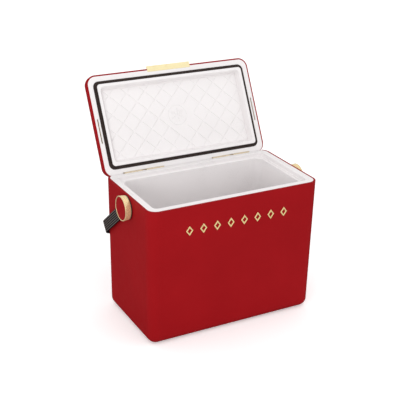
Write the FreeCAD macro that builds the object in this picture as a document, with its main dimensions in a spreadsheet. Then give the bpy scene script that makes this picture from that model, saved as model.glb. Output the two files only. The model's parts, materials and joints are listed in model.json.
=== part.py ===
import FreeCAD, Part
import math
import os
import Sketcher

# Portable insulated drinks cooler box: a tapered rounded tub with a hinged lid,
# a sealed quilted lid liner and a carry strap that swings on two side hubs.
# Frame: origin at the centre of the base, +Z up, front face towards -Y.
# Rest pose: the lid stands open, the strap hangs down behind the box.

Vec = FreeCAD.Vector
Rot = FreeCAD.Rotation
Place = FreeCAD.Placement

ALONG_X = (1, 0, 0)
ALONG_Y = (0, 1, 0)
ALONG_Z = (0, 0, 1)
SIDES = (("left", -1), ("right", 1))

doc = FreeCAD.newDocument("drinks_cooler_box")
sheet = doc.addObject("Spreadsheet::Sheet", "Params")


# ================= driving dimensions =================
class Dim:
    """A length that carries both its number and its spreadsheet expression."""

    def __init__(self, text, value):
        self.text = text
        self.value = float(value)

    @staticmethod
    def of(x):
        return x if isinstance(x, Dim) else Dim("(%.6g)" % x, x)

    def _pair(self, other, sign, value):
        return Dim("(%s %s %s)" % (self.text, sign, Dim.of(other).text), value)

    def __add__(self, other):
        return self._pair(other, "+", self.value + Dim.of(other).value)

    def __sub__(self, other):
        return self._pair(other, "-", self.value - Dim.of(other).value)

    def __mul__(self, other):
        return self._pair(other, "*", self.value * Dim.of(other).value)

    def __truediv__(self, other):
        return self._pair(other, "/", self.value / Dim.of(other).value)

    def __rmul__(self, other):
        return Dim.of(other) * self

    def __neg__(self):
        return Dim.of(0) - self


used_rows = []


def cell(alias, value, note):
    """Writes one driving dimension on the next spreadsheet row."""
    used_rows.append(alias)
    row = len(used_rows)
    sheet.set("A%d" % row, alias)
    sheet.set("B%d" % row, repr(value))
    sheet.setAlias("B%d" % row, alias)
    sheet.set("C%d" % row, note)
    return Dim("Params.%s" % alias, value)


# ---- body ----
body_w = cell("body_w", 420.0, "body width at the rim")
body_d = cell("body_d", 236.3, "body depth at the rim")
body_z = cell("body_z", 318.6, "height of the body rim")
body_rate = cell("body_rate", 0.0115, "how far each side leans out per unit of height")
corner_top = cell("corner_top", 24.0, "vertical corner radius at the rim")
base_fillet = cell("base_fillet", 19.5, "rounding of the bottom edge")
rim_round = cell("rim_round", 0.9, "rounding of the skins' rim edges")
liner_round = cell("liner_round", 1.6, "rounding of the liner's step edges")
plug_round = cell("plug_round", 1.4, "rounding of the plug ring edges")
foot_round = cell("foot_round", 1.0, "rounding at the rebate, panel and gasket feet")
wall = cell("wall", 2.2, "outer skin thickness")
skin = cell("skin", 2.2, "liner thickness")
gap = cell("gap", 0.1, "gap between nested mouldings")
fit = cell("fit", 0.05, "clearance between closely seated parts")
over = cell("over", 5.0, "how far body cutters run past the rim")
nick = cell("nick", 1.0, "short overrun of cutters and overlap of joined forms")
# ---- inner liner ----
rim_lip = cell("rim_lip", 4.9, "width of the outer skin's inturned rim lip")
flange_inset = cell("flange_inset", 5.0, "flange edge inside the rim lip")
rebate_inset = cell("rebate_inset", 20.3, "inner edge of the flat flange")
rebate_depth = cell("rebate_depth", 9.5, "drop from flange to ledge")
rebate_r = cell("rebate_r", 10.0, "rebate corner radius")
cavity_w = cell("cavity_w", 362.0, "cavity width under the ledge")
cavity_d = cell("cavity_d", 185.0, "cavity depth under the ledge")
cavity_r = cell("cavity_r", 20.0, "cavity corner radius at the ledge")
cavity_rate = cell("cavity_rate", 0.02, "how far each cavity wall leans out per unit of height")
floor_z = cell("floor_z", 26.0, "height of the cavity floor")
floor_fillet = cell("floor_fillet", 12.0, "rounding between floor and walls")
# ---- rear trough, measured from the hinge axis ----
trough_half = cell("trough_half", 200.2, "half length of the rear trough")
trough_back = cell("trough_back", 0.4, "trough floor's rear edge, behind the axis")
trough_depth = cell("trough_depth", 13.0, "trough floor below the axis")
trough_past = cell("trough_past", 10.0, "how far the trough cutters run back and up")
slope_drop = cell("slope_drop", 3.8, "start of the rear slope below the axis")
slope_front = cell("slope_front", 0.56, "start of the rear slope in front of the axis")
slope_rate = cell("slope_rate", 0.527, "fall of the rear slope per unit towards the back")
notch_drop = cell("notch_drop", 4.31, "skin notch floor below the axis")
notch_end_drop = cell("notch_end_drop", 9.37, "rear end of the skin notch below the axis")
trough_wall_front = cell("trough_wall_front", 5.6, "trough moulding in front of the axis")
trough_wall_back = cell("trough_wall_back", 2.5, "trough moulding behind the axis")
trough_wall_drop = cell("trough_wall_drop", 15.2, "trough moulding below the axis")
foam_cut_front = cell("foam_cut_front", 12.0, "foam cutout in front of the axis")
foam_cut_back = cell("foam_cut_back", 6.0, "foam cutout behind the axis")
foam_cut_drop = cell("foam_cut_drop", 15.4, "foam cutout below the axis")
# ---- hinge line ----
hinge_y = cell("hinge_y", 113.15, "hinge axis, back from the centre")
hinge_z = cell("hinge_z", 317.3, "hinge axis height")
lid_open = cell("lid_open", 117.8, "lid opening angle in degrees")
hinge_x = cell("hinge_x", 114.2, "centre of each hinge from the middle")
barrel_len = cell("barrel_len", 44.5, "length of one hinge barrel")
barrel_pitch = cell("barrel_pitch", 55.0, "distance between the two barrels of a hinge")
barrel_r = cell("barrel_r", 3.0, "barrel radius")
relief_end = cell("relief_end", 0.6, "barrel relief beyond each barrel end")
body_relief = cell("body_relief", 0.4, "barrel relief clearance in the body flange")
lid_relief = cell("lid_relief", 0.5, "barrel relief clearance in the lid")
pin_r = cell("pin_r", 1.5, "hinge pin radius")
pin_fit = cell("pin_fit", 0.05, "running clearance on the pin")
pin_grip = cell("pin_grip", 0.02, "clearance on the pin in the body leaf")
knuckle_mid = cell("knuckle_mid", 15.8, "length of the middle knuckle")
knuckle_gap = cell("knuckle_gap", 0.35, "gap between knuckles")
leaf_t = cell("leaf_t", 1.7, "hinge leaf thickness")
leaf_w = cell("leaf_w", 101.0, "hinge leaf length along the hinge line")
leaf_y = cell("leaf_y", 3.3, "leaf front face, in front of the axis")
leaf_seat = cell("leaf_seat", 3.4, "leaf seats, in front of the axis")
leaf_end_gap = cell("leaf_end_gap", 1.0, "lid seat beyond each leaf end")
# ---- hinge screws ----
screw_pitch = cell("screw_pitch", 38.0, "distance between the screws of a leaf")
screw_r = cell("screw_r", 1.5, "screw and rivet shank radius")
screw_hole_r = cell("screw_hole_r", 1.6, "screw and rivet clearance hole radius")
snug_fit = cell("snug_fit", 0.03, "clearance of a tight bore on its shank")
hole_len = cell("hole_len", 4.0, "length of the screw hole cutters")
seat_hole_y = cell("seat_hole_y", -6.5, "start of the leaf seat holes, from the axis")
body_screw_z = cell("body_screw_z", -8.8, "body leaf screws, from the axis")
lid_screw_z = cell("lid_screw_z", 10.0, "lid leaf screws, from the closed axis")
screw_head_r = cell("screw_head_r", 2.9, "screw head radius")
screw_head_h = cell("screw_head_h", 1.45, "screw head height")
screw_head_y = cell("screw_head_y", -3.1, "small end of the screw head, from the axis")
screw_start_y = cell("screw_start_y", -8.1, "tip of the screw, from the axis")
screw_len = cell("screw_len", 5.1, "screw shank length")
sink_small_r = cell("sink_small_r", 1.35, "countersink small radius")
sink_big_r = cell("sink_big_r", 3.05, "countersink large radius")
sink_h = cell("sink_h", 1.72, "countersink height")
sink_y = cell("sink_y", -3.31, "start of the countersink, from the axis")
strip_half = cell("strip_half", 48.0, "nut strip half length")
strip_front = cell("strip_front", 7.8, "nut strip front face, in front of the axis")
strip_back = cell("strip_back", 5.65, "nut strip rear face, in front of the axis")
# ---- lid ----
lid_z = cell("lid_z", 2.0, "lid rim plane above the hinge axis when closed")
lid_d = cell("lid_d", 234.0, "lid depth, a little less than the body")
lid_back = cell("lid_back", 2.65, "lid rear face behind the hinge axis when closed")
lid_h = cell("lid_h", 24.2, "lid height above its rim plane")
lid_r = cell("lid_r", 23.0, "lid corner radius")
lid_fillet = cell("lid_fillet", 14.0, "rounding of the lid's top edge")
lid_wall = cell("lid_wall", 2.0, "lid skin thickness")
lid_lip = cell("lid_lip", 3.5, "width of the lid skin's inturned rim lip")
lid_back_lip = cell("lid_back_lip", 1.0, "width of that lip along the hinge side")
groove_out = cell("groove_out", 15.25, "outer edge of the gasket groove")
groove_in = cell("groove_in", 22.4, "inner edge of the gasket groove")
groove_r = cell("groove_r", 13.5, "outer corner radius of the gasket groove")
groove_depth = cell("groove_depth", 3.0, "gasket groove depth")
groove_round = cell("groove_round", 0.8, "rounding of the groove's outer edge")
plug_in = cell("plug_in", 29.3, "inner edge of the plug ring")
plug_r = cell("plug_r", 7.5, "outer corner radius of the plug ring")
plug_wall = cell("plug_wall", 2.0, "outer wall and foot thickness of the plug ring")
plug_hollow_r = cell("plug_hollow_r", 6.0, "corner radius of the plug ring's hollow")
plug_h = cell("plug_h", 5.0, "plug ring height below the rim plane")
recess_rate = cell("recess_rate", 0.31, "how far the recess walls slope in per unit of depth")
recess_r = cell("recess_r", 9.0, "corner radius of the panel recess")
recess_wall = cell("recess_wall", 2.1, "sideways offset of the panel recess wall")
panel_depth = cell("panel_depth", 9.5, "quilted panel above the rim plane")
lip_out = cell("lip_out", 20.8, "outer face of the gasket lip")
lip_r = cell("lip_r", 9.5, "corner radius of the gasket lip")
gasket_proud = cell("gasket_proud", 0.6, "flat of the gasket below the rim plane")
leaf_rib_front = cell("leaf_rib_front", 5.5, "lid leaf rib, in front of the axis")
leaf_rib_h = cell("leaf_rib_h", 12.0, "top of the lid leaf rib above the rim plane")
leaf_pass_back = cell("leaf_pass_back", 0.8, "rear edge of the leaf slot, in front of the axis")
slot_len = cell("slot_len", 56.0, "side slot length")
slot_w = cell("slot_w", 2.8, "side slot width")
slot_h = cell("slot_h", 4.0, "top of the lid rim slots above the rim plane")
slot_inset = cell("slot_inset", 9.8, "side slot distance from the lid edge")
slot_shift = cell("slot_shift", 11.2, "side slot offset towards the hinge")
rib_len = cell("rib_len", 52.0, "length of the locating rib under each side slot")
rib_w = cell("rib_w", 1.8, "locating rib width")
rib_h = cell("rib_h", 1.8, "locating rib height above the flange")
rib_end_round = cell("rib_end_round", 0.85, "rounding of the rib's upright corners")
rib_top_round = cell("rib_top_round", 0.5, "rounding of the rib's top edges")
# ---- pull bar ----
bar_w = cell("bar_w", 111.0, "pull bar length")
bar_proud = cell("bar_proud", 6.4, "pull bar reach in front of the lid")
bar_foot = cell("bar_foot", 7.3, "pull bar foot under the lid rim")
bar_t = cell("bar_t", 1.2, "pull bar foot thickness")
bar_h = cell("bar_h", 3.0, "pull bar thickness in front of the lid")
bar_round = cell("bar_round", 0.8, "rounding of the pull bar's front edges")
rivet_pitch = cell("rivet_pitch", 45.0, "distance between the rivets")
rivet_y = cell("rivet_y", 5.4, "rivets behind the lid's front face")
rivet_start = cell("rivet_start", 0.5, "rivet foot above the rim plane")
rivet_len = cell("rivet_len", 2.4, "rivet shank length")
rivet_head_r = cell("rivet_head_r", 3.2, "rivet head radius")
rivet_head_h = cell("rivet_head_h", 1.5, "rivet head height")
rivet_head_z = cell("rivet_head_z", 2.25, "rivet head above the rim plane")
# ---- strap hubs; hub_back and all x are distances out of the side plane ----
pivot_y = cell("pivot_y", -5.2, "strap pivot, from the centre")
pivot_z = cell("pivot_z", 290.0, "strap pivot height")
pivot_x = cell("pivot_x", 210.0, "side plane the hubs sit on")
strap_drop = cell("strap_drop", 38.6, "strap angle below level at rest, degrees")
hub_r = cell("hub_r", 28.0, "hub outer radius")
hub_in = cell("hub_in", 25.6, "hub inner radius")
hub_back = cell("hub_back", 2.0, "hub rear edge off the side")
hub_front = cell("hub_front", 16.0, "hub front edge off the side")
post_r = cell("post_r", 5.0, "pivot post radius")
post_x = cell("post_x", -12.0, "inner end of the post")
post_len = cell("post_len", 22.5, "post shank length")
post_head_r = cell("post_head_r", 10.0, "post head radius")
post_head_x = cell("post_head_x", 10.45, "underside of the post head")
post_head_t = cell("post_head_t", 1.5, "post head thickness")
key_x = cell("key_x", 11.2, "floor of the slot across the post head")
key_end = cell("key_end", 12.5, "outer end of that slot's cutter")
key_len = cell("key_len", 12.0, "length of that slot")
key_w = cell("key_w", 1.6, "width of that slot")
bush_r = cell("bush_r", 8.0, "pivot bush outer radius")
sleeve_len = cell("sleeve_len", 7.2, "bush sleeve length")
collar_r = cell("collar_r", 11.0, "bush collar radius")
collar_x = cell("collar_x", 9.25, "inner face of the bush collar")
collar_t = cell("collar_t", 1.0, "bush collar thickness")
bush_bore_len = cell("bush_bore_len", 14.0, "length of the bush bore's cutter")
retainer_x = cell("retainer_x", 7.15, "inner face of the strap retainer")
retainer_t = cell("retainer_t", 2.0, "strap retainer thickness")
retainer_gap = cell("retainer_gap", 0.2, "strap retainer edge inside the hub")
washer_x = cell("washer_x", 0.15, "inner face of the thrust washer")
washer_t = cell("washer_t", 1.6, "thrust washer thickness")
washer_inset = cell("washer_inset", 1.0, "thrust washer edge inside the hub radius")
backing_r = cell("backing_r", 17.0, "backing washer radius")
backing_x = cell("backing_x", -5.0, "inner face of the backing washer")
backing_t = cell("backing_t", 2.0, "backing washer thickness")
nut_x = cell("nut_x", -10.4, "inner face of the pivot nut")
nut_t = cell("nut_t", 5.3, "pivot nut thickness")
side_bore_len = cell("side_bore_len", 30.0, "length of the side bores' cutters")
post_hole_fit = cell("post_hole_fit", 0.2, "clearance of the skin's pivot hole")
post_hole_start = cell("post_hole_start", 15.0, "start of that hole inside the side plane")
foam_pocket_r = cell("foam_pocket_r", 18.2, "foam pocket radius at the pivot")
foam_pocket_start = cell("foam_pocket_start", 16.5, "pocket floor inside the side plane")
# ---- strap ----
strap_w = cell("strap_w", 28.8, "strap width")
strap_t = cell("strap_t", 3.0, "strap thickness")
strap_off = cell("strap_off", 5.55, "strap mid-plane off the side")
strap_reach = cell("strap_reach", 169.5, "pivot to the strap's back span")
strap_bend = cell("strap_bend", 27.0, "bend radius of the strap corners")
# ---- front ornament ----
badge_w = cell("badge_w", 16.5, "lozenge width")
badge_h = cell("badge_h", 22.5, "lozenge height")
badge_t = cell("badge_t", 1.6, "lozenge thickness")
badge_line = cell("badge_line", 2.6, "lozenge stroke")
stroke_across = cell("stroke_across", 1.24, "stroke measured level, per unit of stroke")
stroke_rise = cell("stroke_rise", 1.364, "stroke measured upright, per unit measured level")
badge_z = cell("badge_z", 262.5, "lozenge centre height")
badge_pitch = cell("badge_pitch", 33.5, "lozenge spacing")
badge_sink = cell("badge_sink", 0.05, "lozenge offset in front of the front face")
BADGES = 8

doc.recompute()

# Derived places. The lid and hinges are modelled closed, about the hinge axis.
ledge_z = body_z - rebate_depth
lid_front = lid_back - lid_d
lid_cy = lid_back - lid_d / 2
lid_top = lid_z + lid_h
mouth_d = lid_d - lid_lip - lid_back_lip
mouth_cy = lid_front + lid_lip + mouth_d / 2
slot_y = lid_cy + slot_shift
plug_foot = lid_z - plug_h
groove_top = lid_z + groove_depth
panel_z = lid_z + panel_depth
seat_half = leaf_w / 2 + leaf_end_gap
side_knuckle = (barrel_len - knuckle_mid) / 2 - knuckle_gap
strap_x = pivot_x + strap_off

hinge_place = Place(Vec(0, hinge_y.value, hinge_z.value), Rot())
lid_place = Place(Vec(0, hinge_y.value, hinge_z.value), Rot(Vec(1, 0, 0), -lid_open.value))
strap_turn = Rot(Vec(1, 0, 0), -strap_drop.value)

# Per hinge half: start and end heights off the closed axis, screw row, pin bore and place.
LEAVES = {
    "body": dict(tongue=(-6, 0), plate=(-12.6, -4.5), strip=(-12.4, -5.2),
                 screw_z=body_screw_z, bore_r=pin_r + pin_grip, place=hinge_place),
    "lid": dict(tongue=(0, 6), plate=(4.5, 13.3), strip=(7.3, 12.9),
                screw_z=lid_screw_z, bore_r=pin_r + pin_fit, place=lid_place),
}


# ================= sketches and bodies =================
def bind(obj, prop, dim):
    obj.setExpression(prop, Dim.of(dim).text)


def new_body(name):
    return doc.addObject("PartDesign::Body", name)


def new_sketch(body, name, role, y=0, z=0):
    """Sketch on the origin plane role, shifted y in the plane and z along its normal."""
    y, z = Dim.of(y), Dim.of(z)
    plane = next(f for f in body.Origin.OriginFeatures if f.Role == role)
    sketch = body.newObject("Sketcher::SketchObject", name)
    sketch.AttachmentSupport = [(plane, "")]
    sketch.MapMode = "FlatFace"
    sketch.AttachmentOffset = Place(Vec(0, y.value, z.value), Rot())
    bind(sketch, "AttachmentOffset.Base.y", y)
    bind(sketch, "AttachmentOffset.Base.z", z)
    return sketch


def constrain(sketch, kind, *args):
    return sketch.addConstraint(Sketcher.Constraint(kind, *args))


def add_dim(sketch, kind, args, dim, name):
    dim = Dim.of(dim)
    index = constrain(sketch, kind, *args, dim.value)
    sketch.renameConstraint(index, name)
    bind(sketch, "Constraints." + name, dim)


def add_line(sketch, start, end):
    return sketch.addGeometry(Part.LineSegment(Vec(*start), Vec(*end)), False)


def add_quarter(sketch, centre, radius, start):
    """Quarter arc, counter-clockwise from the angle start."""
    circle = Part.Circle(Vec(*centre), Vec(0, 0, 1), radius)
    return sketch.addGeometry(Part.ArcOfCircle(circle, start, start + math.pi / 2), False)


def round_rect(body, name, w, d, r, z, cy):
    """Rounded rectangle w by d, corners r, in a plane parallel to XY at height z."""
    w, d, r = Dim.of(w), Dim.of(d), Dim.of(r)
    sketch = new_sketch(body, name, "XY_Plane", cy, z)
    x, y, c = w.value / 2, d.value / 2, r.value
    lines = [((-x + c, -y), (x - c, -y)), ((x, -y + c), (x, y - c)),
             ((x - c, y), (-x + c, y)), ((-x, y - c), (-x, -y + c))]
    corners = [((x - c, -y + c), -math.pi / 2), ((x - c, y - c), 0),
               ((-x + c, y - c), math.pi / 2), ((-x + c, -y + c), math.pi)]
    for line, (centre, start) in zip(lines, corners):
        add_line(sketch, *line)
        add_quarter(sketch, centre, c, start)
    for i in range(0, 8, 2):
        constrain(sketch, "Tangent", i, 2, i + 1, 1)
        constrain(sketch, "Tangent", i + 1, 2, (i + 2) % 8, 1)
    for kind, line in (("Horizontal", 0), ("Horizontal", 4), ("Vertical", 2), ("Vertical", 6)):
        constrain(sketch, kind, line)
    for i in (3, 5, 7):
        constrain(sketch, "Equal", 1, i)
    add_dim(sketch, "Radius", (1,), r, "corner")
    add_dim(sketch, "DistanceX", (-1, 1, 2, 1), w / 2, "half_w")
    add_dim(sketch, "DistanceY", (-1, 1, 4, 1), d / 2, "half_d")
    add_dim(sketch, "DistanceX", (6, 1, 2, 1), w, "full_w")
    add_dim(sketch, "DistanceY", (0, 1, 4, 1), d, "full_d")
    return sketch


def polygon(body, name, role, points, z=0):
    """Closed polygon whose corners are dimensioned from the sketch origin."""
    sketch = new_sketch(body, name, role, z=z)
    points = [(Dim.of(x), Dim.of(y)) for x, y in points]
    count = len(points)
    for i, (x, y) in enumerate(points):
        next_x, next_y = points[(i + 1) % count]
        add_line(sketch, (x.value, y.value), (next_x.value, next_y.value))
    for i in range(count):
        constrain(sketch, "Coincident", i, 2, (i + 1) % count, 1)
    for i, (x, y) in enumerate(points):
        add_dim(sketch, "DistanceX", (-1, 1, i, 1), x, "x%d" % i)
        add_dim(sketch, "DistanceY", (-1, 1, i, 1), y, "y%d" % i)
    return sketch


def add_pad(body, name, profile, length, midplane=False):
    pad = body.newObject("PartDesign::Pad", name)
    pad.Profile = profile
    pad.Midplane = midplane
    bind(pad, "Length", length)


def rpad(name, w, d, r, z0, z1, cy=0):
    """Rounded-rectangle block from z0 to z1."""
    body = new_body(name)
    add_pad(body, name + "_pad", round_rect(body, name + "_outline", w, d, r, z0, cy),
            Dim.of(z1) - z0)
    return body


def xpad(name, points, half):
    """Polygon in the YZ plane, extruded by half both ways along X."""
    body = new_body(name)
    add_pad(body, name + "_pad", polygon(body, name + "_outline", "YZ_Plane", points),
            half * 2, midplane=True)
    return body


def turned(name, points):
    """Polygon of (distance along X, radius) turned once about the X axis."""
    body = new_body(name)
    profile = polygon(body, name + "_profile", "XY_Plane", points)
    turn = body.newObject("PartDesign::Revolution", name + "_turn")
    turn.Profile = profile
    turn.ReferenceAxis = (profile, ["H_Axis"])
    turn.Angle = 360.0
    return body


def sub_names(kind, items, pick):
    return ["%s%d" % (kind, i + 1) for i, item in enumerate(items) if pick(item)]


def draft_sides(body, z0, rate, outwards):
    """Leans the sides of the body's pad by rate, pivoting on its base at z0."""
    doc.recompute()
    pad = body.Tip
    base_z = Dim.of(z0).value
    faces = pad.Shape.Faces
    draft = body.newObject("PartDesign::Draft", body.Name + "_draft")
    draft.Base = (pad, sub_names("Face", faces, lambda f: f.BoundBox.ZLength > 1.0))
    draft.NeutralPlane = (pad, sub_names(
        "Face", faces,
        lambda f: f.BoundBox.ZLength < 0.01 and abs(f.BoundBox.ZMin - base_z) < 0.01))
    draft.setExpression("Angle", "atan(%s)" % rate.text)

    def gain():
        doc.recompute()
        change = draft.Shape.Volume - pad.Shape.Volume
        return change if outwards else -change

    if gain() < 0:
        draft.Reversed = True
    if gain() <= 0:
        raise RuntimeError("%s leans the wrong way" % body.Name)


def rdraft(name, w, d, r, z0, z1, ref_z, rate):
    """Rounded block from z0 to z1 whose sides lean outwards by rate. Its outline
    is w by d with corner radius r at the height ref_z."""
    lean = (ref_z - z0) * rate
    body = rpad(name, w - 2 * lean, d - 2 * lean, r - lean, z0, z1)
    draft_sides(body, z0, rate, outwards=True)
    return body


def edge_fillet(body, radius, pick, name):
    """Rounds the edges of the body's tip that pick(edge) accepts."""
    doc.recompute()
    tip = body.Tip
    before = tip.Shape.Volume
    fillet = body.newObject("PartDesign::Fillet", name)
    fillet.Base = (tip, sub_names("Edge", tip.Shape.Edges, pick))
    bind(fillet, "Radius", radius)
    doc.recompute()
    if abs(body.Shape.Volume - before) < 1.0:
        raise RuntimeError("the fillet %s changed nothing" % name)


# ================= primitives and booleans =================
def placed(obj, at, axis=ALONG_Z):
    """Puts a primitive at a point with its Z axis along axis."""
    at = [Dim.of(v) for v in at]
    obj.Placement = Place(Vec(*[v.value for v in at]), Rot(Vec(0, 0, 1), Vec(*axis)))
    for letter, v in zip("xyz", at):
        bind(obj, "Placement.Base." + letter, v)
    return obj


def cyl(name, radius, length, at, axis=ALONG_X):
    """Cylinder from the point at, along axis (a unit vector)."""
    part = doc.addObject("Part::Cylinder", name)
    bind(part, "Radius", radius)
    bind(part, "Height", length)
    return placed(part, at, axis)


def cone(name, radius1, radius2, height, at):
    """Cone along +Y, radius1 at the point at."""
    part = doc.addObject("Part::Cone", name)
    bind(part, "Radius1", radius1)
    bind(part, "Radius2", radius2)
    bind(part, "Height", height)
    return placed(part, at, ALONG_Y)


def block(name, low, high):
    """Box between two corners."""
    part = doc.addObject("Part::Box", name)
    for prop, start, end in zip(("Length", "Width", "Height"), low, high):
        bind(part, prop, Dim.of(end) - start)
    return placed(part, low)


def fuse(name, items):
    part = doc.addObject("Part::MultiFuse", name)
    part.Shapes = items
    part.Refine = True
    return part


def cut(name, base, tools):
    """base minus every tool; each cut has to remove something."""
    part = doc.addObject("Part::Cut", name)
    part.Base = base
    part.Tool = tools[0] if len(tools) == 1 else fuse(name + "_tools", tools)
    part.Refine = True
    doc.recompute()
    if part.Shape.Volume > base.Shape.Volume - 0.05:
        raise RuntimeError("the cut %s removed nothing" % name)
    return part


def compound(name, items):
    part = doc.addObject("Part::Compound", name)
    part.Links = items
    return part


def ring(name, outer_r, inner_r, x, thickness):
    """Flat ring about the X axis."""
    return cut(name + "_solid", cyl(name + "_disc", outer_r, thickness, (x, 0, 0)),
               [cyl(name + "_bore", inner_r, thickness + 2 * nick, (x - nick, 0, 0))])


def round_edges(base, steps):
    """Part fillets in order; each step is (name, radius, edge picker)."""
    for name, radius, pick in steps:
        doc.recompute()
        rounds = [(i + 1, radius.value, radius.value)
                  for i, e in enumerate(base.Shape.Edges) if pick(e)]
        if not rounds:
            raise RuntimeError("%s found no edges" % name)
        fillet = doc.addObject("Part::Fillet", name)
        fillet.Base = base
        fillet.Edges = rounds
        doc.recompute()
        shape = fillet.Shape
        if (shape.isNull() or not shape.isValid()
                or abs(shape.Volume - base.Shape.Volume) < 0.5):
            raise RuntimeError("%s failed" % name)
        base = fillet
    return base


def level(z):
    """Picks edges that lie level at height z."""
    z = Dim.of(z).value
    return lambda e: abs(e.BoundBox.ZMin - z) < 0.02 and abs(e.BoundBox.ZMax - z) < 0.02


def on_outline(z, w, d, cy=0.0):
    """Picks edges at height z that lie along a w by d outline centred on y = cy."""
    half_w, half_d, cy = w.value / 2, d.value / 2, Dim.of(cy).value
    at_level = level(z)

    def pick(e):
        if not at_level(e):
            return False
        b = e.BoundBox
        x = max(abs(b.XMin), abs(b.XMax))
        y = max(abs(b.YMin - cy), abs(b.YMax - cy))
        near = abs(x - half_w) < 0.05 or abs(y - half_d) < 0.05
        return near and x < half_w + 0.05 and y < half_d + 0.05
    return pick


NODES = {}


def node(obj, label, placement=None):
    """Registers a finished piece for export."""
    obj.Label = label
    if placement is not None:
        obj.Placement = placement
    NODES[label] = obj


# ================= shapes shared between pieces =================
def body_form(name, inset, z0, z1, rounding=None):
    """Leaning block inside the body's outline, with an optional bottom rounding."""
    form = rdraft(name, body_w - 2 * inset, body_d - 2 * inset, corner_top - inset,
                  z0, z1, body_z, body_rate)
    if rounding is not None:
        edge_fillet(form, rounding, level(z0), name + "_base_round")
    return form


def body_block(name, inset, r, z0, z1):
    """Straight block inside the body's outline."""
    return rpad(name, body_w - 2 * inset, body_d - 2 * inset, r, z0, z1)


def cavity_form(name, grow, top_z, rounding):
    """The cavity's leaning form, grown outwards and downwards by grow."""
    form = rdraft(name, cavity_w + 2 * grow, cavity_d + 2 * grow, cavity_r + grow,
                  floor_z - grow, top_z, ledge_z, cavity_rate)
    edge_fillet(form, rounding, level(floor_z - grow), name + "_base_round")
    return form


def trough_box(name, front, back, drop, top_z, half):
    """Box around the hinge axis, from drop below it up to top_z."""
    y0, y1, z0 = hinge_y - front, hinge_y + back, hinge_z - drop
    return xpad(name, [(y0, top_z), (y0, z0), (y1, z0), (y1, top_z)], half)


def side_bores(name, radius, start):
    """One bore through each side at the strap pivot, from start inside the side plane."""
    return [cyl("%s_%s" % (name, side), radius, side_bore_len,
                (sign * (pivot_x - start), pivot_y, pivot_z), (sign, 0, 0))
            for side, sign in SIDES]


def slot_blocks(name, half_w, half_len, y, z0, z1):
    """A block on the centre line of each side slot."""
    blocks = []
    for side, sign in SIDES:
        x = sign * (body_w / 2 - slot_inset)
        blocks.append(block("%s_%s" % (name, side), (x - half_w, y - half_len, z0),
                            (x + half_w, y + half_len, z1)))
    return blocks


def hinge_block(name, sign, half_len, y_span, z_span):
    """A block centred on one hinge along X."""
    x = sign * hinge_x
    return block(name, (x - half_len, y_span[0], z_span[0]), (x + half_len, y_span[1], z_span[1]))


def hinge_blocks(name, half_len, y_span, z_span):
    return [hinge_block("%s_%s" % (name, side), sign, half_len, y_span, z_span)
            for side, sign in SIDES]


def barrel_x(sign, end):
    """Middle of the barrel at one end (-1 or 1) of one hinge."""
    return sign * hinge_x + end * barrel_pitch / 2


def knuckle_slots(name, radius, y0=0, z0=0):
    """Round relief about the hinge axis for every barrel."""
    return [cyl("%s_%s_%d" % (name, side, end + 1), radius, barrel_len + 2 * relief_end,
                (barrel_x(sign, sign * end) - barrel_len / 2 - relief_end, y0, z0))
            for side, sign in SIDES for end in (1, -1)]


def leaf_screw_x(sign):
    """X of the three screws of one hinge leaf."""
    return [sign * hinge_x + i * screw_pitch for i in (-1, 0, 1)]


SCREW_X = leaf_screw_x(-1) + leaf_screw_x(1)


def y_holes(name, radius, xs, y, z):
    """A row of screw hole cutters along +Y."""
    return [cyl("%s_%d" % (name, i), radius, hole_len, (x, y, z), ALONG_Y)
            for i, x in enumerate(xs)]


def rivet_cyls(name, radius, length, z):
    """Upright cylinders at the three pull bar rivets."""
    return [cyl("%s_%d" % (name, i + 1), radius, length,
                (i * rivet_pitch, lid_front + rivet_y, z), ALONG_Z) for i in (-1, 0, 1)]


def bar_notch(name):
    """Room for the pull bar's foot in the lid rim."""
    return block(name, (-bar_w / 2 - gap, lid_front - nick, lid_z - nick),
                 (bar_w / 2 + gap, lid_front + bar_foot + gap, lid_z + bar_t + gap))


def lid_ring(name, inset, z0, z1, r):
    """Straight block inside the lid's outline."""
    return rpad(name, body_w - 2 * inset, lid_d - 2 * inset, r, z0, z1, lid_cy)


def lid_form(name, inset, z0, z1, rounding):
    """Block following the lid's outline, with its top edge rounded."""
    form = lid_ring(name, inset, z0, z1, lid_r - inset)
    edge_fillet(form, rounding, level(z1), name + "_top_round")
    return form


def mouth_block(name, clearance, z0, z1):
    """Block that fills the opening inside the lid skin's rim lip."""
    return rpad(name, body_w - 2 * lid_lip - 2 * clearance, mouth_d - 2 * clearance,
                lid_r - lid_lip - clearance, z0, z1, mouth_cy)


def recess_form(name, offset, z0, z1):
    """Tapered block whose sides keep the distance offset outside the panel recess."""
    inset = plug_in + recess_rate * (z0 - plug_foot) - offset
    body = lid_ring(name, inset, z0, z1, recess_r)
    draft_sides(body, z0, recess_rate, outwards=False)
    return body


def lid_outline(z, inset):
    return on_outline(z, body_w - 2 * inset, lid_d - 2 * inset, lid_cy)


# ================= body =================
def build_outer_shell():
    form = body_form("outer_form", 0, 0, body_z, base_fillet)
    edge_fillet(form, rim_round, level(body_z), "outer_rim_round")
    hollow = body_form("shell_hollow", wall, wall, body_z - skin - gap / 2, base_fillet - wall)
    lip_hole = body_block("lip_hole", rim_lip, corner_top - rim_lip,
                          body_z - skin - gap, body_z + over)
    front, end = hinge_y - leaf_seat, hinge_y + trough_past
    floor, top = hinge_z - notch_drop, hinge_z + trough_past
    notch = xpad("shell_notch", [(front, top), (front, floor), (hinge_y + trough_back, floor),
                                 (end, hinge_z - notch_end_drop), (end, top)], trough_half)
    holes = side_bores("pivot_hole", post_r + post_hole_fit, post_hole_start)
    node(cut("outer_shell_solid", form, [hollow, lip_hole, notch] + holes), "outer_shell")


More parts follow.
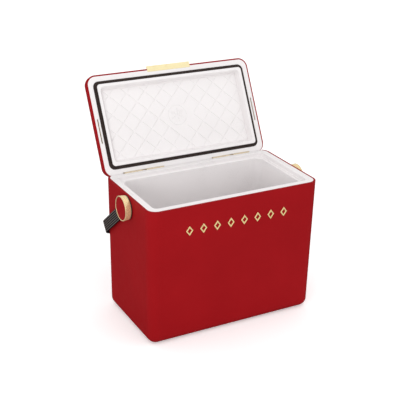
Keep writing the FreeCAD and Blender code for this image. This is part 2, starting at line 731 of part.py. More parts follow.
def liner_blank():
    """The liner's flange, step, tub and trough, trimmed to fit inside the outer shell."""
    flange_r = corner_top - flange_inset
    flange = body_block("flange", flange_inset, flange_r, body_z - skin, body_z)
    step = body_block("step_wall", rebate_inset - skin, rebate_r + skin, ledge_z - skin, body_z)
    tub = cavity_form("tub_form", skin, ledge_z, floor_fillet + skin)
    trough_wall = trough_box("trough_wall", trough_wall_front, trough_wall_back,
                             trough_wall_drop, body_z, trough_half + skin)
    low = body_form("liner_low_limit", wall + gap + fit, wall, body_z - skin - gap)
    top = body_block("liner_top_limit", flange_inset, flange_r, body_z - skin - nick, body_z)
    limit = fuse("liner_limit", [low, top])
    trimmed = doc.addObject("Part::MultiCommon", "liner_common")
    trimmed.Shapes = [fuse("liner_blank", [flange, step, tub, trough_wall]), limit]
    return trimmed


def trough_cutter():
    """Room for the open lid's rear edge: a flat-floored channel, then a falling slope."""
    def slope_z(back):
        return hinge_z - slope_drop - slope_rate * (back + slope_front)

    front, back, end = hinge_y - leaf_seat, hinge_y + trough_back, hinge_y + trough_past
    floor, top = hinge_z - trough_depth, hinge_z + trough_past
    return xpad("trough_cut", [(front, top), (front, floor), (back, floor),
                               (back, slope_z(trough_back)), (end, slope_z(trough_past)),
                               (end, top)], trough_half)


def build_inner_liner():
    locating = slot_blocks("locating_rib", rib_w / 2, rib_len / 2, hinge_y + slot_y,
                           body_z - nick, body_z + rib_h)
    blank = fuse("liner_trim", [liner_blank()] + locating)
    rebate = body_block("rebate", rebate_inset, rebate_r, ledge_z, body_z + over)
    cavity = cavity_form("cavity", 0, ledge_z + 2 * nick, floor_fillet)
    holes = y_holes("liner_hole", screw_hole_r, SCREW_X,
                    hinge_y + seat_hole_y, hinge_z + body_screw_z)
    reliefs = knuckle_slots("flange_relief", barrel_r + body_relief, hinge_y, hinge_z)
    liner = cut("inner_liner_solid", blank, [rebate, cavity, trough_cutter()] + holes + reliefs)

    rebate_w, rebate_d = body_w - 2 * rebate_inset, body_d - 2 * rebate_inset
    rib_top = body_z + rib_h

    def rib_upright(e):
        b = e.BoundBox
        return (abs(b.ZMax - rib_top.value) < 0.02 and abs(b.ZMin - body_z.value) < 0.02
                and b.XLength < 0.01)

    liner = round_edges(liner, [
        ("flange_edge_fillet", liner_round, on_outline(body_z, rebate_w, rebate_d)),
        ("ledge_edge_fillet", liner_round, on_outline(ledge_z, cavity_w, cavity_d)),
        ("rebate_foot_fillet", foot_round, on_outline(ledge_z, rebate_w, rebate_d)),
        ("rib_end_fillet", rib_end_round, rib_upright),
        ("rib_top_fillet", rib_top_round, level(rib_top)),
    ])
    node(liner, "inner_liner")


def build_body_foam():
    form = body_form("foam_form", wall + gap, wall + gap, body_z - skin - gap,
                     base_fillet - wall)
    around = skin + gap
    step = body_block("foam_step", rebate_inset - around, rebate_r + around,
                      ledge_z - around, body_z + over)
    tub = cavity_form("foam_tub", around, ledge_z, floor_fillet + skin)
    trough = trough_box("foam_trough", foam_cut_front, foam_cut_back, foam_cut_drop,
                        body_z + over, trough_half + around)
    pockets = side_bores("foam_pocket", foam_pocket_r, foam_pocket_start)
    node(cut("body_foam_solid", form, [step, tub, trough] + pockets), "body_foam")


def lozenge(name):
    """Upright lozenge frame, its back on the XZ plane."""
    def diamond(part, half_w, half_h):
        return polygon(body, "%s_%s" % (name, part), "XZ_Plane",
                       [(-half_w, 0), (0, -half_h), (half_w, 0), (0, half_h)])

    body = new_body(name)
    half_w, half_h = badge_w / 2, badge_h / 2
    add_pad(body, name + "_pad", diamond("edge", half_w, half_h), badge_t)
    doc.recompute()
    level_stroke = badge_line * stroke_across
    pocket = body.newObject("PartDesign::Pocket", name + "_pocket")
    pocket.Profile = diamond("window", half_w - level_stroke,
                             half_h - level_stroke * stroke_rise)
    pocket.Type = "ThroughAll"
    pocket.Midplane = True
    doc.recompute()
    return body


def build_front_lozenges():
    """A row of lozenges tilted to lie on the leaning front face."""
    y = -(body_d / 2 - (body_z - badge_z) * body_rate) - badge_sink
    tilt = Rot(Vec(1, 0, 0), math.degrees(math.atan(body_rate.value)))
    lozenges = []
    for i in range(BADGES):
        body = lozenge("lozenge_%d" % i)
        x = (i - (BADGES - 1) / 2) * badge_pitch
        body.Placement = Place(Vec(x.value, y.value, badge_z.value), tilt)
        lozenges.append(body)
    node(compound("front_lozenges_group", lozenges), "front_lozenges")


# ================= lid =================
def build_lid_shell():
    form = lid_form("lid_outer", 0, lid_z, lid_top, lid_fillet)
    edge_fillet(form, rim_round, level(lid_z), "lid_rim_round")
    mouth = mouth_block("lid_mouth", 0, lid_z - nick, lid_z + skin + nick)
    hollow = lid_form("lid_hollow", lid_wall, lid_z + skin, lid_top - lid_wall,
                      lid_fillet - lid_wall)
    reliefs = knuckle_slots("shell_relief", barrel_r + lid_relief)
    node(cut("lid_shell_solid", form, [mouth, hollow, bar_notch("bar_notch")] + reliefs),
         "lid_shell", lid_place)


def lid_liner_blank():
    rim = mouth_block("lid_rim", fit, lid_z, lid_z + skin - fit)
    thick = lid_ring("lid_groove_body", groove_out - skin, lid_z, groove_top + skin,
                     groove_r + skin)
    plug = lid_ring("lid_plug", groove_in, plug_foot, groove_top + skin, plug_r)
    well = recess_form("lid_well", recess_wall, groove_top + 0.5, panel_z + skin)
    ribs = hinge_blocks("leaf_rib", seat_half, (-leaf_rib_front, -leaf_seat),
                        (lid_z + nick, lid_z + leaf_rib_h))
    return fuse("lid_liner_blank", [rim, thick, plug, well] + ribs)


def build_lid_liner():
    blank = lid_liner_blank()
    groove = cut("gasket_groove",
                 lid_ring("groove_outer", groove_out, lid_z - 8, groove_top, groove_r),
                 [lid_ring("groove_inner", groove_in, lid_z - 9, groove_top + nick, plug_r)])
    # Space inside the plug ring, open at the top, between its wall and the recess wall.
    plug_hollow = cut("plug_hollow",
                      lid_ring("plug_hollow_outer", groove_in + plug_wall,
                               plug_foot + plug_wall, groove_top + skin + 0.5, plug_hollow_r),
                      [recess_form("plug_hollow_inner", recess_wall,
                                   plug_foot + nick, groove_top + skin + nick)])
    recess = recess_form("panel_recess", 0, plug_foot - 2 * nick, panel_z)
    rivet_holes = rivet_cyls("rivet_hole", screw_hole_r, 6, lid_z - nick)
    slots = slot_blocks("side_slot", slot_w / 2, slot_len / 2, slot_y,
                        lid_z - nick, lid_z + slot_h)
    leaf_pass = hinge_blocks("leaf_pass", seat_half, (-leaf_seat, -leaf_pass_back),
                             (lid_z - nick, lid_z + slot_h))
    rib_holes = y_holes("rib_hole", screw_hole_r, SCREW_X, seat_hole_y, lid_screw_z)
    liner = cut("lid_liner_cut", blank,
                [groove, plug_hollow, recess, bar_notch("liner_notch")] + rivet_holes + slots
                + leaf_pass + rib_holes + knuckle_slots("rim_relief", barrel_r + lid_relief))
    panel_inset = plug_in + recess_rate * (plug_h + panel_depth)
    liner = round_edges(liner, [
        ("plug_outer_fillet", plug_round, lid_outline(plug_foot, groove_in)),
        ("plug_inner_fillet", plug_round, lid_outline(plug_foot, plug_in)),
        ("panel_foot_fillet", foot_round, lid_outline(panel_z, panel_inset)),
        ("groove_edge_fillet", groove_round, lid_outline(lid_z, groove_out)),
    ])
    node(liner, "lid_liner", lid_place)


def build_lid_gasket():
    """A lip ring whose tall inner bead drops just inside the body flange."""
    top, foot = groove_top - fit, plug_foot + gap
    flat = lid_ring("gasket_flat", groove_out + fit, lid_z - gasket_proud, top, groove_r - fit)
    lip = lid_ring("gasket_lip", lip_out, foot, top, lip_r)
    edge_fillet(lip, foot_round, level(foot), "lip_round")
    hole = lid_ring("gasket_hole", groove_in - fit, lid_z - 12, lid_z + 12, plug_r + fit)
    node(cut("lid_gasket_solid", fuse("gasket_blank", [flat, lip]), [hole]),
         "lid_gasket", lid_place)


def build_lid_foam():
    around = skin + gap
    form = lid_form("lid_foam_form", lid_wall + gap, lid_z + around, lid_top - lid_wall - gap,
                    lid_fillet - lid_wall)
    groove = lid_ring("lid_foam_groove", groove_out - around, lid_z - 2,
                      groove_top + around, groove_r + around)
    well = recess_form("lid_foam_well", recess_wall + gap, lid_z + 2, panel_z + around)
    # Rooms behind the pull bar, around the hinge leaves and over the side slots.
    bar_room = block("lid_foam_bar", (-60, lid_front, lid_z), (60, lid_front + 10, lid_z + 6))
    hinge_rooms = hinge_blocks("lid_foam_hinge", 54, (-8.2, 6), (lid_z, lid_z + 13.5))
    slot_rooms = slot_blocks("lid_foam_slot", 2.4, 30, slot_y, lid_z, lid_z + 8)
    node(cut("lid_foam_solid", form, [groove, well, bar_room] + hinge_rooms + slot_rooms),
         "lid_foam", lid_place)


def build_pull_bar():
    """A flat bar, thicker in front of the lid, with its foot let into the lid rim."""
    tip, heel, step = lid_front - bar_proud, lid_front + bar_foot, lid_front - fit
    foot_top, bar_top = lid_z + bar_t, lid_z + bar_h
    form = xpad("pull_bar_form", [(tip, lid_z), (heel, lid_z), (heel, foot_top),
                                  (step, foot_top), (step, bar_top), (tip, bar_top)], bar_w / 2)
    edge_fillet(form, bar_round, lambda e: abs(e.BoundBox.YMin - e.BoundBox.YMax) < 0.01
                and abs(e.BoundBox.YMin - tip.value) < 0.01, "pull_bar_round")
    bores = rivet_cyls("bar_bore", screw_r + snug_fit, 4, lid_z + rivet_start)
    node(cut("pull_bar_solid", form, bores), "pull_bar", lid_place)


def build_pull_bar_rivets():
    shanks = rivet_cyls("rivet_shank", screw_r, rivet_len, lid_z + rivet_start)
    heads = rivet_cyls("rivet_head", rivet_head_r, rivet_head_h, lid_z + rivet_head_z)
    rivets = [fuse("bar_rivet_%d" % i, list(pair)) for i, pair in enumerate(zip(shanks, heads))]
    node(compound("pull_bar_rivets_group", rivets), "pull_bar_rivets", lid_place)


# ================= hinges =================
def build_leaf(half, side, sign):
    """Plate with tongues up to its knuckles: the middle ones for the lid leaf,
    the end ones for the body leaf."""
    data = LEAVES[half]
    tag = "%s_%s" % (half, side)
    front, back = -leaf_y, -leaf_y + leaf_t
    knuckles, bores, sinks = [], [], []
    for end in (-1, 1):
        middle = barrel_x(sign, end)
        if half == "lid":
            spans = [(middle - knuckle_mid / 2, knuckle_mid)]
        else:
            spans = [(middle - barrel_len / 2, side_knuckle),
                     (middle + barrel_len / 2 - side_knuckle, side_knuckle)]
        for i, (x, length) in enumerate(spans):
            name = "%s_%d_%d" % (tag, end + 1, i)
            z0, z1 = data["tongue"]
            knuckles.append(cyl("barrel_" + name, barrel_r, length, (x, 0, 0)))
            knuckles.append(block("tongue_" + name, (x, front, z0), (x + length, back, z1)))
            bores.append(cyl("bore_" + name, data["bore_r"], length + nick, (x - nick / 2, 0, 0)))
    plate = hinge_block("plate_" + tag, sign, leaf_w / 2, (front, back), data["plate"])
    xs, z = leaf_screw_x(sign), data["screw_z"]
    holes = y_holes("sink_hole_" + tag, screw_hole_r, xs, -5, z)
    for i, (x, hole) in enumerate(zip(xs, holes)):
        sinks.append(cone("sink_%s_%d" % (tag, i), sink_small_r, sink_big_r, sink_h,
                          (x, sink_y, z)))
        sinks.append(hole)
    form = fuse("leaf_form_" + tag, knuckles + [plate])
    node(cut("leaf_" + tag, form, bores + sinks), "hinge_%s_leaf_%s" % (half, side),
         data["place"])


def build_hinge_pins(side, sign):
    pins = [cyl("pin_%s_%d" % (side, end + 1), pin_r, barrel_len,
                (barrel_x(sign, end) - barrel_len / 2, 0, 0)) for end in (-1, 1)]
    node(compound("pins_" + side, pins), "hinge_pins_" + side, hinge_place)


def build_hinge_screws(half):
    z = LEAVES[half]["screw_z"]
    screws = []
    for i, x in enumerate(SCREW_X):
        tag = "%s_%d" % (half, i)
        head = cone("screw_head_" + tag, screw_r, screw_head_r, screw_head_h,
                    (x, screw_head_y, z))
        shank = cyl("screw_shank_" + tag, screw_r, screw_len, (x, screw_start_y, z), ALONG_Y)
        screws.append(fuse("screw_" + tag, [head, shank]))
    node(compound("screws_" + half, screws), "hinge_%s_screws" % half, LEAVES[half]["place"])


def build_nut_strips(half):
    data = LEAVES[half]
    strips = []
    for side, sign in SIDES:
        tag = "%s_%s" % (half, side)
        bar = hinge_block("strip_" + tag, sign, strip_half, (-strip_front, -strip_back),
                          data["strip"])
        holes = y_holes("strip_hole_" + tag, screw_r + snug_fit, leaf_screw_x(sign),
                        -8.5, data["screw_z"])
        strips.append(cut("nut_strip_" + tag, bar, holes))
    node(compound("strips_" + half, strips), "hinge_%s_nut_strips" % half, data["place"])


# ================= strap hubs =================
# Each piece is modelled about the pivot: +X out of the side, +Y along the strap.
def side_place(sign, turn):
    """The pivot on one side; the left side is the right one turned about Y."""
    flip = Rot() if sign > 0 else Rot(Vec(0, 1, 0), 180)
    return Place(Vec(sign * pivot_x.value, pivot_y.value, pivot_z.value), turn.multiply(flip))


def build_hub_cup(side, place):
    """Turned cup with a slot where the strap enters."""
    floor = hub_back + 2.0
    cup = turned("hub_cup_form_" + side, [
        (hub_back, bush_r + fit), (hub_back, hub_r - 1.4), (hub_back + 0.8, hub_r - 0.6),
        (hub_front - 0.8, hub_r), (hub_front, hub_r - 0.8), (hub_front, hub_in + 0.6),
        (hub_front - 0.6, hub_in), (floor, hub_in), (floor, bush_r + fit)])
    half_t, half_w = strap_t / 2 + gap, strap_w / 2 + 0.25
    slot = block("hub_slot_" + side, (strap_off - half_t, 15, -half_w),
                 (strap_off + half_t, 30, half_w))
    node(cut("strap_hub_%s_solid" % side, cup, [slot]), "strap_hub_" + side, place)


def build_hub_cap(side, place):
    """Shallow turned disc that closes the cup."""
    cap = turned("hub_cap_form_" + side, [
        (12.4, 0), (12.4, hub_in - 0.4), (12.8, hub_in - fit), (14.6, hub_in - fit),
        (15.2, hub_in - 0.9), (15.5, hub_in - 8), (15.6, 0)])
    node(cap, "hub_cap_" + side, place)


def build_bush(side, place):
    sleeve = cyl("sleeve_" + side, bush_r, sleeve_len, (hub_back + gap, 0, 0))
    collar = cyl("collar_" + side, collar_r, collar_t, (collar_x, 0, 0))
    bore = cyl("bush_bore_" + side, post_r + fit, bush_bore_len, (0, 0, 0))
    node(cut("bush_solid_" + side, fuse("bush_form_" + side, [sleeve, collar]), [bore]),
         "strap_bush_" + side, place)


def build_post(side, place):
    """Post with a flat head slotted across its face."""
    shank = cyl("post_shank_" + side, post_r, post_len, (post_x, 0, 0))
    head = cyl("post_head_" + side, post_head_r, post_head_t, (post_head_x, 0, 0))
    key = block("post_key_" + side, (key_x, -key_len / 2, -key_w / 2),
                (key_end, key_len / 2, key_w / 2))
    node(cut("post_solid_" + side, fuse("post_form_" + side, [shank, head]), [key]),
         "pivot_post_" + side, place)


def build_nut(side, place):
    """Hexagon nut on the inner end of the post."""
    corner_r = 9.2
    angles = [math.radians(60 * i) for i in range(6)]
    points = [(round(corner_r * math.cos(a), 4), round(corner_r * math.sin(a), 4))
              for a in angles]
    nut = new_body("nut_form_" + side)
    outline = polygon(nut, "nut_outline_" + side, "YZ_Plane", points, nut_x)
    add_pad(nut, "nut_pad_" + side, outline, nut_t)
    bore = cyl("nut_bore_" + side, post_r + snug_fit, nut_t + 2 * nick, (nut_x - nick, 0, 0))
    node(cut("nut_solid_" + side, nut, [bore]), "pivot_nut_" + side, place)


def build_hub(side, sign):
    """Everything on one pivot; the first four pieces turn with the strap."""
    turning, fixed = side_place(sign, strap_turn), side_place(sign, Rot())
    build_hub_cup(side, turning)
    build_hub_cap(side, turning)
    node(ring("retainer_" + side, hub_in - retainer_gap, bush_r + fit, retainer_x, retainer_t),
         "strap_retainer_" + side, turning)
    build_bush(side, turning)
    node(ring("washer_" + side, hub_r - washer_inset, post_r + gap, washer_x, washer_t),
         "thrust_washer_" + side, fixed)
    build_post(side, fixed)
    node(ring("backing_" + side, backing_r, post_r + gap, backing_x, backing_t),
         "backing_washer_" + side, fixed)
    build_nut(side, fixed)


# ================= carry strap =================
def strap_outline(sketch, sign, tag):
    """Line, arc, line, arc, line, half a thickness outside (sign 1) or inside (-1)
    the strap's mid-plane. Returns the indices of the left and right lines."""
    side = strap_x + sign * strap_t / 2
    reach = strap_reach + sign * strap_t / 2
    bend = strap_bend + sign * strap_t / 2
    x, y, r = side.value, reach.value, bend.value
    left = add_line(sketch, (-x, 0), (-x, y - r))
    left_bend = add_quarter(sketch, (-x + r, y - r), r, math.pi / 2)
    span = add_line(sketch, (-x + r, y), (x - r, y))
    right_bend = add_quarter(sketch, (x - r, y - r), r, 0)
    right = add_line(sketch, (x, y - r), (x, 0))
    constrain(sketch, "Tangent", left, 2, left_bend, 2)
    constrain(sketch, "Tangent", left_bend, 1, span, 1)
    constrain(sketch, "Tangent", span, 2, right_bend, 2)
    constrain(sketch, "Tangent", right_bend, 1, right, 1)
    constrain(sketch, "Vertical", left)
    constrain(sketch, "Horizontal", span)
    constrain(sketch, "Vertical", right)
    constrain(sketch, "Equal", left_bend, right_bend)
    add_dim(sketch, "Radius", (left_bend,), bend, "bend_" + tag)
    add_dim(sketch, "DistanceX", (-1, 1, right, 2), side, "side_" + tag)
    add_dim(sketch, "DistanceX", (-1, 1, left, 1), -side, "left_" + tag)
    add_dim(sketch, "DistanceY", (-1, 1, span, 1), reach, "reach_" + tag)
    return left, right


def build_carry_strap():
    """U-shaped band with round ends and an eye for each bush."""
    band = new_body("strap_form")
    sketch = new_sketch(band, "strap_path", "XY_Plane")
    out_left, out_right = strap_outline(sketch, 1, "out")
    in_left, in_right = strap_outline(sketch, -1, "in")
    outer, inner = (strap_x + strap_t / 2).value, (strap_x - strap_t / 2).value
    left_end = add_line(sketch, (-outer, 0), (-inner, 0))
    right_end = add_line(sketch, (inner, 0), (outer, 0))
    constrain(sketch, "Coincident", left_end, 1, out_left, 1)
    constrain(sketch, "Coincident", left_end, 2, in_left, 1)
    constrain(sketch, "Coincident", right_end, 1, in_right, 2)
    constrain(sketch, "Coincident", right_end, 2, out_right, 2)
    for line, point in ((out_left, 1), (out_right, 2), (in_left, 1), (in_right, 2)):
        constrain(sketch, "PointOnObject", line, point, -1)
    add_pad(band, "strap_band", sketch, strap_w, midplane=True)

    ends, eyes = [], []
    for side, sign in SIDES:
        x = sign * strap_x - strap_t / 2
        ends.append(cyl("strap_end_" + side, strap_w / 2, strap_t, (x, 0, 0)))
        eyes.append(cyl("strap_eye_" + side, bush_r + gap, strap_t + 4, (x - 2, 0, 0)))
    node(cut("carry_strap_solid", fuse("strap_blank", [band] + ends), eyes), "carry_strap",
         Place(Vec(0, pivot_y.value, pivot_z.value), strap_turn))


# ================= build, check and export =================
build_outer_shell()
build_inner_liner()
build_body_foam()
build_front_lozenges()
build_lid_shell()
build_lid_liner()
build_lid_gasket()
build_lid_foam()
build_pull_bar()
build_pull_bar_rivets()
for side, sign in SIDES:
    build_leaf("body", side, sign)
    build_leaf("lid", side, sign)
    build_hinge_pins(side, sign)
for half in LEAVES:
    build_hinge_screws(half)
    build_nut_strips(half)
for side, sign in SIDES:
    build_hub(side, sign)
build_carry_strap()

doc.recompute()
problems = []
for obj in doc.Objects:
    if any(state in ("Invalid", "Error") for state in obj.State):
        problems.append("%s (%s): %s" % (obj.Name, obj.Label, obj.State))
for label, obj in NODES.items():
    shape = obj.Shape
    if shape.isNull() or not shape.isValid():
        problems.append("%s: null or invalid shape" % label)
    elif not shape.Solids:
        problems.append("%s: no solid" % label)
if problems:
    raise RuntimeError("\n".join(problems))

os.makedirs("parts", exist_ok=True)
for label, obj in NODES.items():
    obj.Shape.exportStep(os.path.join("parts", label + ".step"))
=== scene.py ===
"""Red cool box with its lid open and its carry strap swung to the back.

Frame: metres, +Z up, floor at z = 0. The front faces -Y, left is -X, and the lid
hinges about an X axis. Shapes are drawn in millimetres and placed by the *_points
functions.
"""
import json
import math
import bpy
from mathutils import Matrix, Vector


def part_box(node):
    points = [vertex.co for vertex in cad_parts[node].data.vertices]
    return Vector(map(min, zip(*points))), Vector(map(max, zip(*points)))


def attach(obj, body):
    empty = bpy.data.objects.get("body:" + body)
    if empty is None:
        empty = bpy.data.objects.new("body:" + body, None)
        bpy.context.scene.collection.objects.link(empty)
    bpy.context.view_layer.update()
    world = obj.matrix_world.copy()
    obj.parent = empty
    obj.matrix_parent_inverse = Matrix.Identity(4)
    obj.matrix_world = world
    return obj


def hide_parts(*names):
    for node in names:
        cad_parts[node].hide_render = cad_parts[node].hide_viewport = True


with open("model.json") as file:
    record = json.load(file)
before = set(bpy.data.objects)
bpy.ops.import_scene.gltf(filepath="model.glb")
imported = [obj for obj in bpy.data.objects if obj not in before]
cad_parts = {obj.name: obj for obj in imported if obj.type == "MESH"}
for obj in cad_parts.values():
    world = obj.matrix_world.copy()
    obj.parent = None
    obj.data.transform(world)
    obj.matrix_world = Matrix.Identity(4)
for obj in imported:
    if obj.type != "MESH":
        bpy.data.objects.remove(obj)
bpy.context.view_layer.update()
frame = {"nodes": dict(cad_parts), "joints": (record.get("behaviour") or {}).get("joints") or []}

from fnmatch import fnmatchcase

import bmesh
import bpy
import numpy as np
from mathutils import Matrix, Vector

NODES = frame["nodes"]
JOINTS = {joint["name"]: joint for joint in frame["joints"]}
MM = 0.001

# Driving dimensions, mm
BODY_W, BODY_D, BODY_TOP = 420.0, 236.3, 318.6      # body at its rim
WALL_TAPER = 0.0115                                 # the body narrows by this much per mm down
LID_Z, LID_BACK, LID_D = 2.0, 2.65, 234.0           # closed lid, from the hinge axis
LID_FRONT = LID_BACK - LID_D
LID_CENTRE_Y = LID_BACK - LID_D / 2
STRAP_X = 215.55                                    # middle of each strap arm's thickness
STRAP_REACH = 169.5                                 # pivot to the strap's cross run
STRAP_BEND = 27.0                                   # radius of its two corners
STRAP_HALF_WIDTH = 14.4

LID_ANGLE = math.radians(JOINTS["lid_hinge"]["range_deg"][1])
STRAP_ANGLE = math.radians(38.6)                    # below level, toward the back
LID_PIVOT = [v / MM for v in JOINTS["lid_hinge"]["pos_m"]]
STRAP_PIVOT = [v / MM for v in JOINTS["strap_swing"]["pos_m"]]
SIDES = (("left", -1), ("right", 1))


# ------------------------------------------------------------------ places
def swing(points, angle, pivot):
    """Turns mm points about the X axis, moves them to the pivot and returns metres."""
    x, y, z = np.asarray(points, float).T
    c, s = math.cos(angle), math.sin(angle)
    return np.stack([x, y * c + z * s + pivot[1], -y * s + z * c + pivot[2]], 1) * MM


def lid_points(points):
    """Points of the closed lid, measured from the hinge axis."""
    return swing(points, LID_ANGLE, LID_PIVOT)


def strap_points(points):
    """Points as (x, along the strap arm, across its width), from the strap pivot."""
    return swing(points, STRAP_ANGLE, STRAP_PIVOT)


# ------------------------------------------------------------------ mesh tools
def shade(mesh, sharp_deg):
    mesh.polygons.foreach_set("use_smooth", [True] * len(mesh.polygons))
    mesh.set_sharp_from_angle(angle=math.radians(sharp_deg))
    mesh.update()


def add_mesh(name, verts, faces, sharp_deg=35.0):
    mesh = bpy.data.meshes.new(name)
    mesh.from_pydata([tuple(map(float, v)) for v in verts], [],
                     [tuple(map(int, f)) for f in faces])
    mesh.validate()
    bm = bmesh.new()
    bm.from_mesh(mesh)
    bmesh.ops.recalc_face_normals(bm, faces=bm.faces[:])
    bm.to_mesh(mesh)
    bm.free()
    ob = bpy.data.objects.new(name, mesh)
    bpy.context.scene.collection.objects.link(ob)
    shade(mesh, sharp_deg)
    return ob


def bake_modifiers(ob, sharp_deg):
    """Applies every modifier on the object to its mesh."""
    bpy.context.view_layer.update()
    graph = bpy.context.evaluated_depsgraph_get()
    baked = bpy.data.meshes.new_from_object(ob.evaluated_get(graph), depsgraph=graph)
    ob.modifiers.clear()
    old = ob.data
    ob.data = baked
    bpy.data.meshes.remove(old)
    shade(baked, sharp_deg)


def cut_with(ob, tool, sharp_deg):
    """Subtracts a closed tool object, which is then removed."""
    cut = ob.modifiers.new("cut", "BOOLEAN")
    cut.operation = "DIFFERENCE"
    cut.solver = "EXACT"
    cut.object = tool
    bake_modifiers(ob, sharp_deg)
    bpy.data.objects.remove(tool)


def bevel(ob, width, segments, edge_deg=30.0, sharp_deg=40.0):
    """Bevels edges sharper than edge_deg; width in mm."""
    modifier = ob.modifiers.new("bevel", "BEVEL")
    modifier.width = width * MM
    modifier.segments = segments
    modifier.limit_method = "ANGLE"
    modifier.angle_limit = math.radians(edge_deg)
    bake_modifiers(ob, sharp_deg)


def round_rect(width, depth, radius, centre_y, corner_points):
    """Counter-clockwise rounded rectangle, centred on x = 0."""
    outline = []
    for k, (sx, sy) in enumerate(((1, -1), (1, 1), (-1, 1), (-1, -1))):
        corner_x = sx * (width / 2 - radius)
        corner_y = centre_y + sy * (depth / 2 - radius)
        for i in range(corner_points):
            a = (k - 1) * math.pi / 2 + (math.pi / 2) * i / (corner_points - 1)
            outline.append((corner_x + radius * math.cos(a), corner_y + radius * math.sin(a)))
    return outline


def skin(loops, closed=True):
    """Skins successive loops of equal length; closed joins the last to the first."""
    verts = [v for loop in loops for v in loop]
    faces = []
    n, rings = len(loops[0]), len(loops)
    for k in range(rings if closed else rings - 1):
        a, b = k * n, ((k + 1) % rings) * n
        for i in range(n):
            j = (i + 1) % n
            faces.append((a + i, a + j, b + j, b + i))
    return verts, faces


def end_caps(n, rings):
    """Faces that close the first and last loop of an open skin."""
    return [tuple(range(n))[::-1], tuple(range((rings - 1) * n, rings * n))]


def lathe(profile, steps):
    """Turns (axial, radius) points about X; ends at radius 0 close the solid."""
    verts, faces, rows = [], [], []
    for axial, radius in profile:
        first = len(verts)
        if radius < 1e-6:
            rows.append([first] * steps)
            verts.append((axial, 0.0, 0.0))
            continue
        rows.append(list(range(first, first + steps)))
        for i in range(steps):
            turn = 2 * math.pi * i / steps
            verts.append((axial, radius * math.cos(turn), radius * math.sin(turn)))
    on_axis = profile[0][1] < 1e-6 and profile[-1][1] < 1e-6
    for k in range(len(rows) - 1 if on_axis else len(rows)):
        row, following = rows[k], rows[(k + 1) % len(rows)]
        for i in range(steps):
            j = (i + 1) % steps
            # drops the repeated corner where a row is a single point
            face = tuple(dict.fromkeys((row[i], row[j], following[j], following[i])))
            if len(face) > 2:
                faces.append(face)
    return verts, faces


def rounded(corners, steps):
    """Closed polygon with arcs at its corners, given as (u, v, corner radius)."""
    outline = []
    points = [np.array(corner[:2], float) for corner in corners]
    for i, point in enumerate(points):
        radius = corners[i][2]
        if radius <= 0:
            outline.append(tuple(point))
            continue
        before = points[i - 1] - point
        after = points[(i + 1) % len(points)] - point
        before_len, after_len = np.linalg.norm(before), np.linalg.norm(after)
        before, after = before / before_len, after / after_len
        half = math.acos(float(np.clip(before @ after, -1, 1))) / 2
        trim = min(radius / math.tan(half), before_len * 0.49, after_len * 0.49)
        radius = trim * math.tan(half)
        middle = before + after
        centre = point + middle / np.linalg.norm(middle) * (radius / math.sin(half))
        start = point + before * trim - centre
        end = point + after * trim - centre
        a0, a1 = math.atan2(start[1], start[0]), math.atan2(end[1], end[0])
        while a1 - a0 > math.pi:
            a1 -= 2 * math.pi
        while a1 - a0 < -math.pi:
            a1 += 2 * math.pi
        for k in range(steps + 1):
            a = a0 + (a1 - a0) * k / steps
            outline.append((centre[0] + radius * math.cos(a), centre[1] + radius * math.sin(a)))
    return outline


# ------------------------------------------------------------------ material tools
NOISE_SPAN = (0.3, 0.7)      # where most of a noise texture's values lie
SOCKETS = {
    "color": "Base Color", "rough": "Roughness", "metal": "Metallic", "normal": "Normal",
    "sheen": "Sheen Weight", "spec": "Specular IOR Level", "aniso": "Anisotropic",
    "ior": "IOR", "glow_color": "Emission Color", "glow": "Emission Strength",
}


def srgb(*rgb):
    """Linear RGBA from 0-255 sRGB."""
    shares = [c / 255.0 for c in rgb]
    return (*(c / 12.92 if c <= 0.04045 else ((c + 0.055) / 1.055) ** 2.4 for c in shares), 1.0)


class Mat:
    """A Principled material; sockets take either a value or another node's output."""

    def __init__(self, name):
        self.material = bpy.data.materials.new(name)
        self.material.use_nodes = True
        self.tree = self.material.node_tree
        self.place = self.node("ShaderNodeTexCoord").outputs["Object"]

    def feed(self, socket, value):
        if isinstance(value, bpy.types.NodeSocket):
            self.tree.links.new(value, socket)
        elif value is not None:
            socket.default_value = value

    def node(self, kind, inputs=None):
        node = self.tree.nodes.new(kind)
        for key, value in (inputs or {}).items():
            self.feed(node.inputs[key], value)
        return node

    def stretched(self, scale):
        return self.node("ShaderNodeMapping", {"Scale": scale, "Vector": self.place}).outputs[0]

    def noise(self, scale, detail, rough=0.5, vector=None):
        return self.node("ShaderNodeTexNoise", {
            "Scale": scale, "Detail": detail, "Roughness": rough, "Distortion": 0.0,
            "Vector": vector or self.place}).outputs["Fac"]

    def remap(self, value, source=NOISE_SPAN, target=(0.0, 1.0)):
        return self.node("ShaderNodeMapRange", {
            "Value": value, "From Min": source[0], "From Max": source[1],
            "To Min": target[0], "To Max": target[1]}).outputs["Result"]

    def math(self, operation, a, b=None):
        node = self.node("ShaderNodeMath", {0: a, 1: b})
        node.operation = operation
        return node.outputs[0]

    def mix(self, factor, a, b):
        """Colour mix; inputs 6 and 7 and output 2 are the node's colour sockets."""
        node = self.node("ShaderNodeMix")
        node.data_type = "RGBA"
        for key, value in ((0, factor), (6, a), (7, b)):
            self.feed(node.inputs[key], value)
        return node.outputs[2]

    def bump(self, height, distance, strength, normal=None):
        return self.node("ShaderNodeBump", {
            "Height": height, "Distance": distance, "Strength": strength,
            "Normal": normal}).outputs["Normal"]

    def finish(self, **values):
        """Feeds the Principled shader and returns the material."""
        shader = self.tree.nodes["Principled BSDF"]
        for key, value in values.items():
            self.feed(shader.inputs[SOCKETS[key]], value)
        return self.material


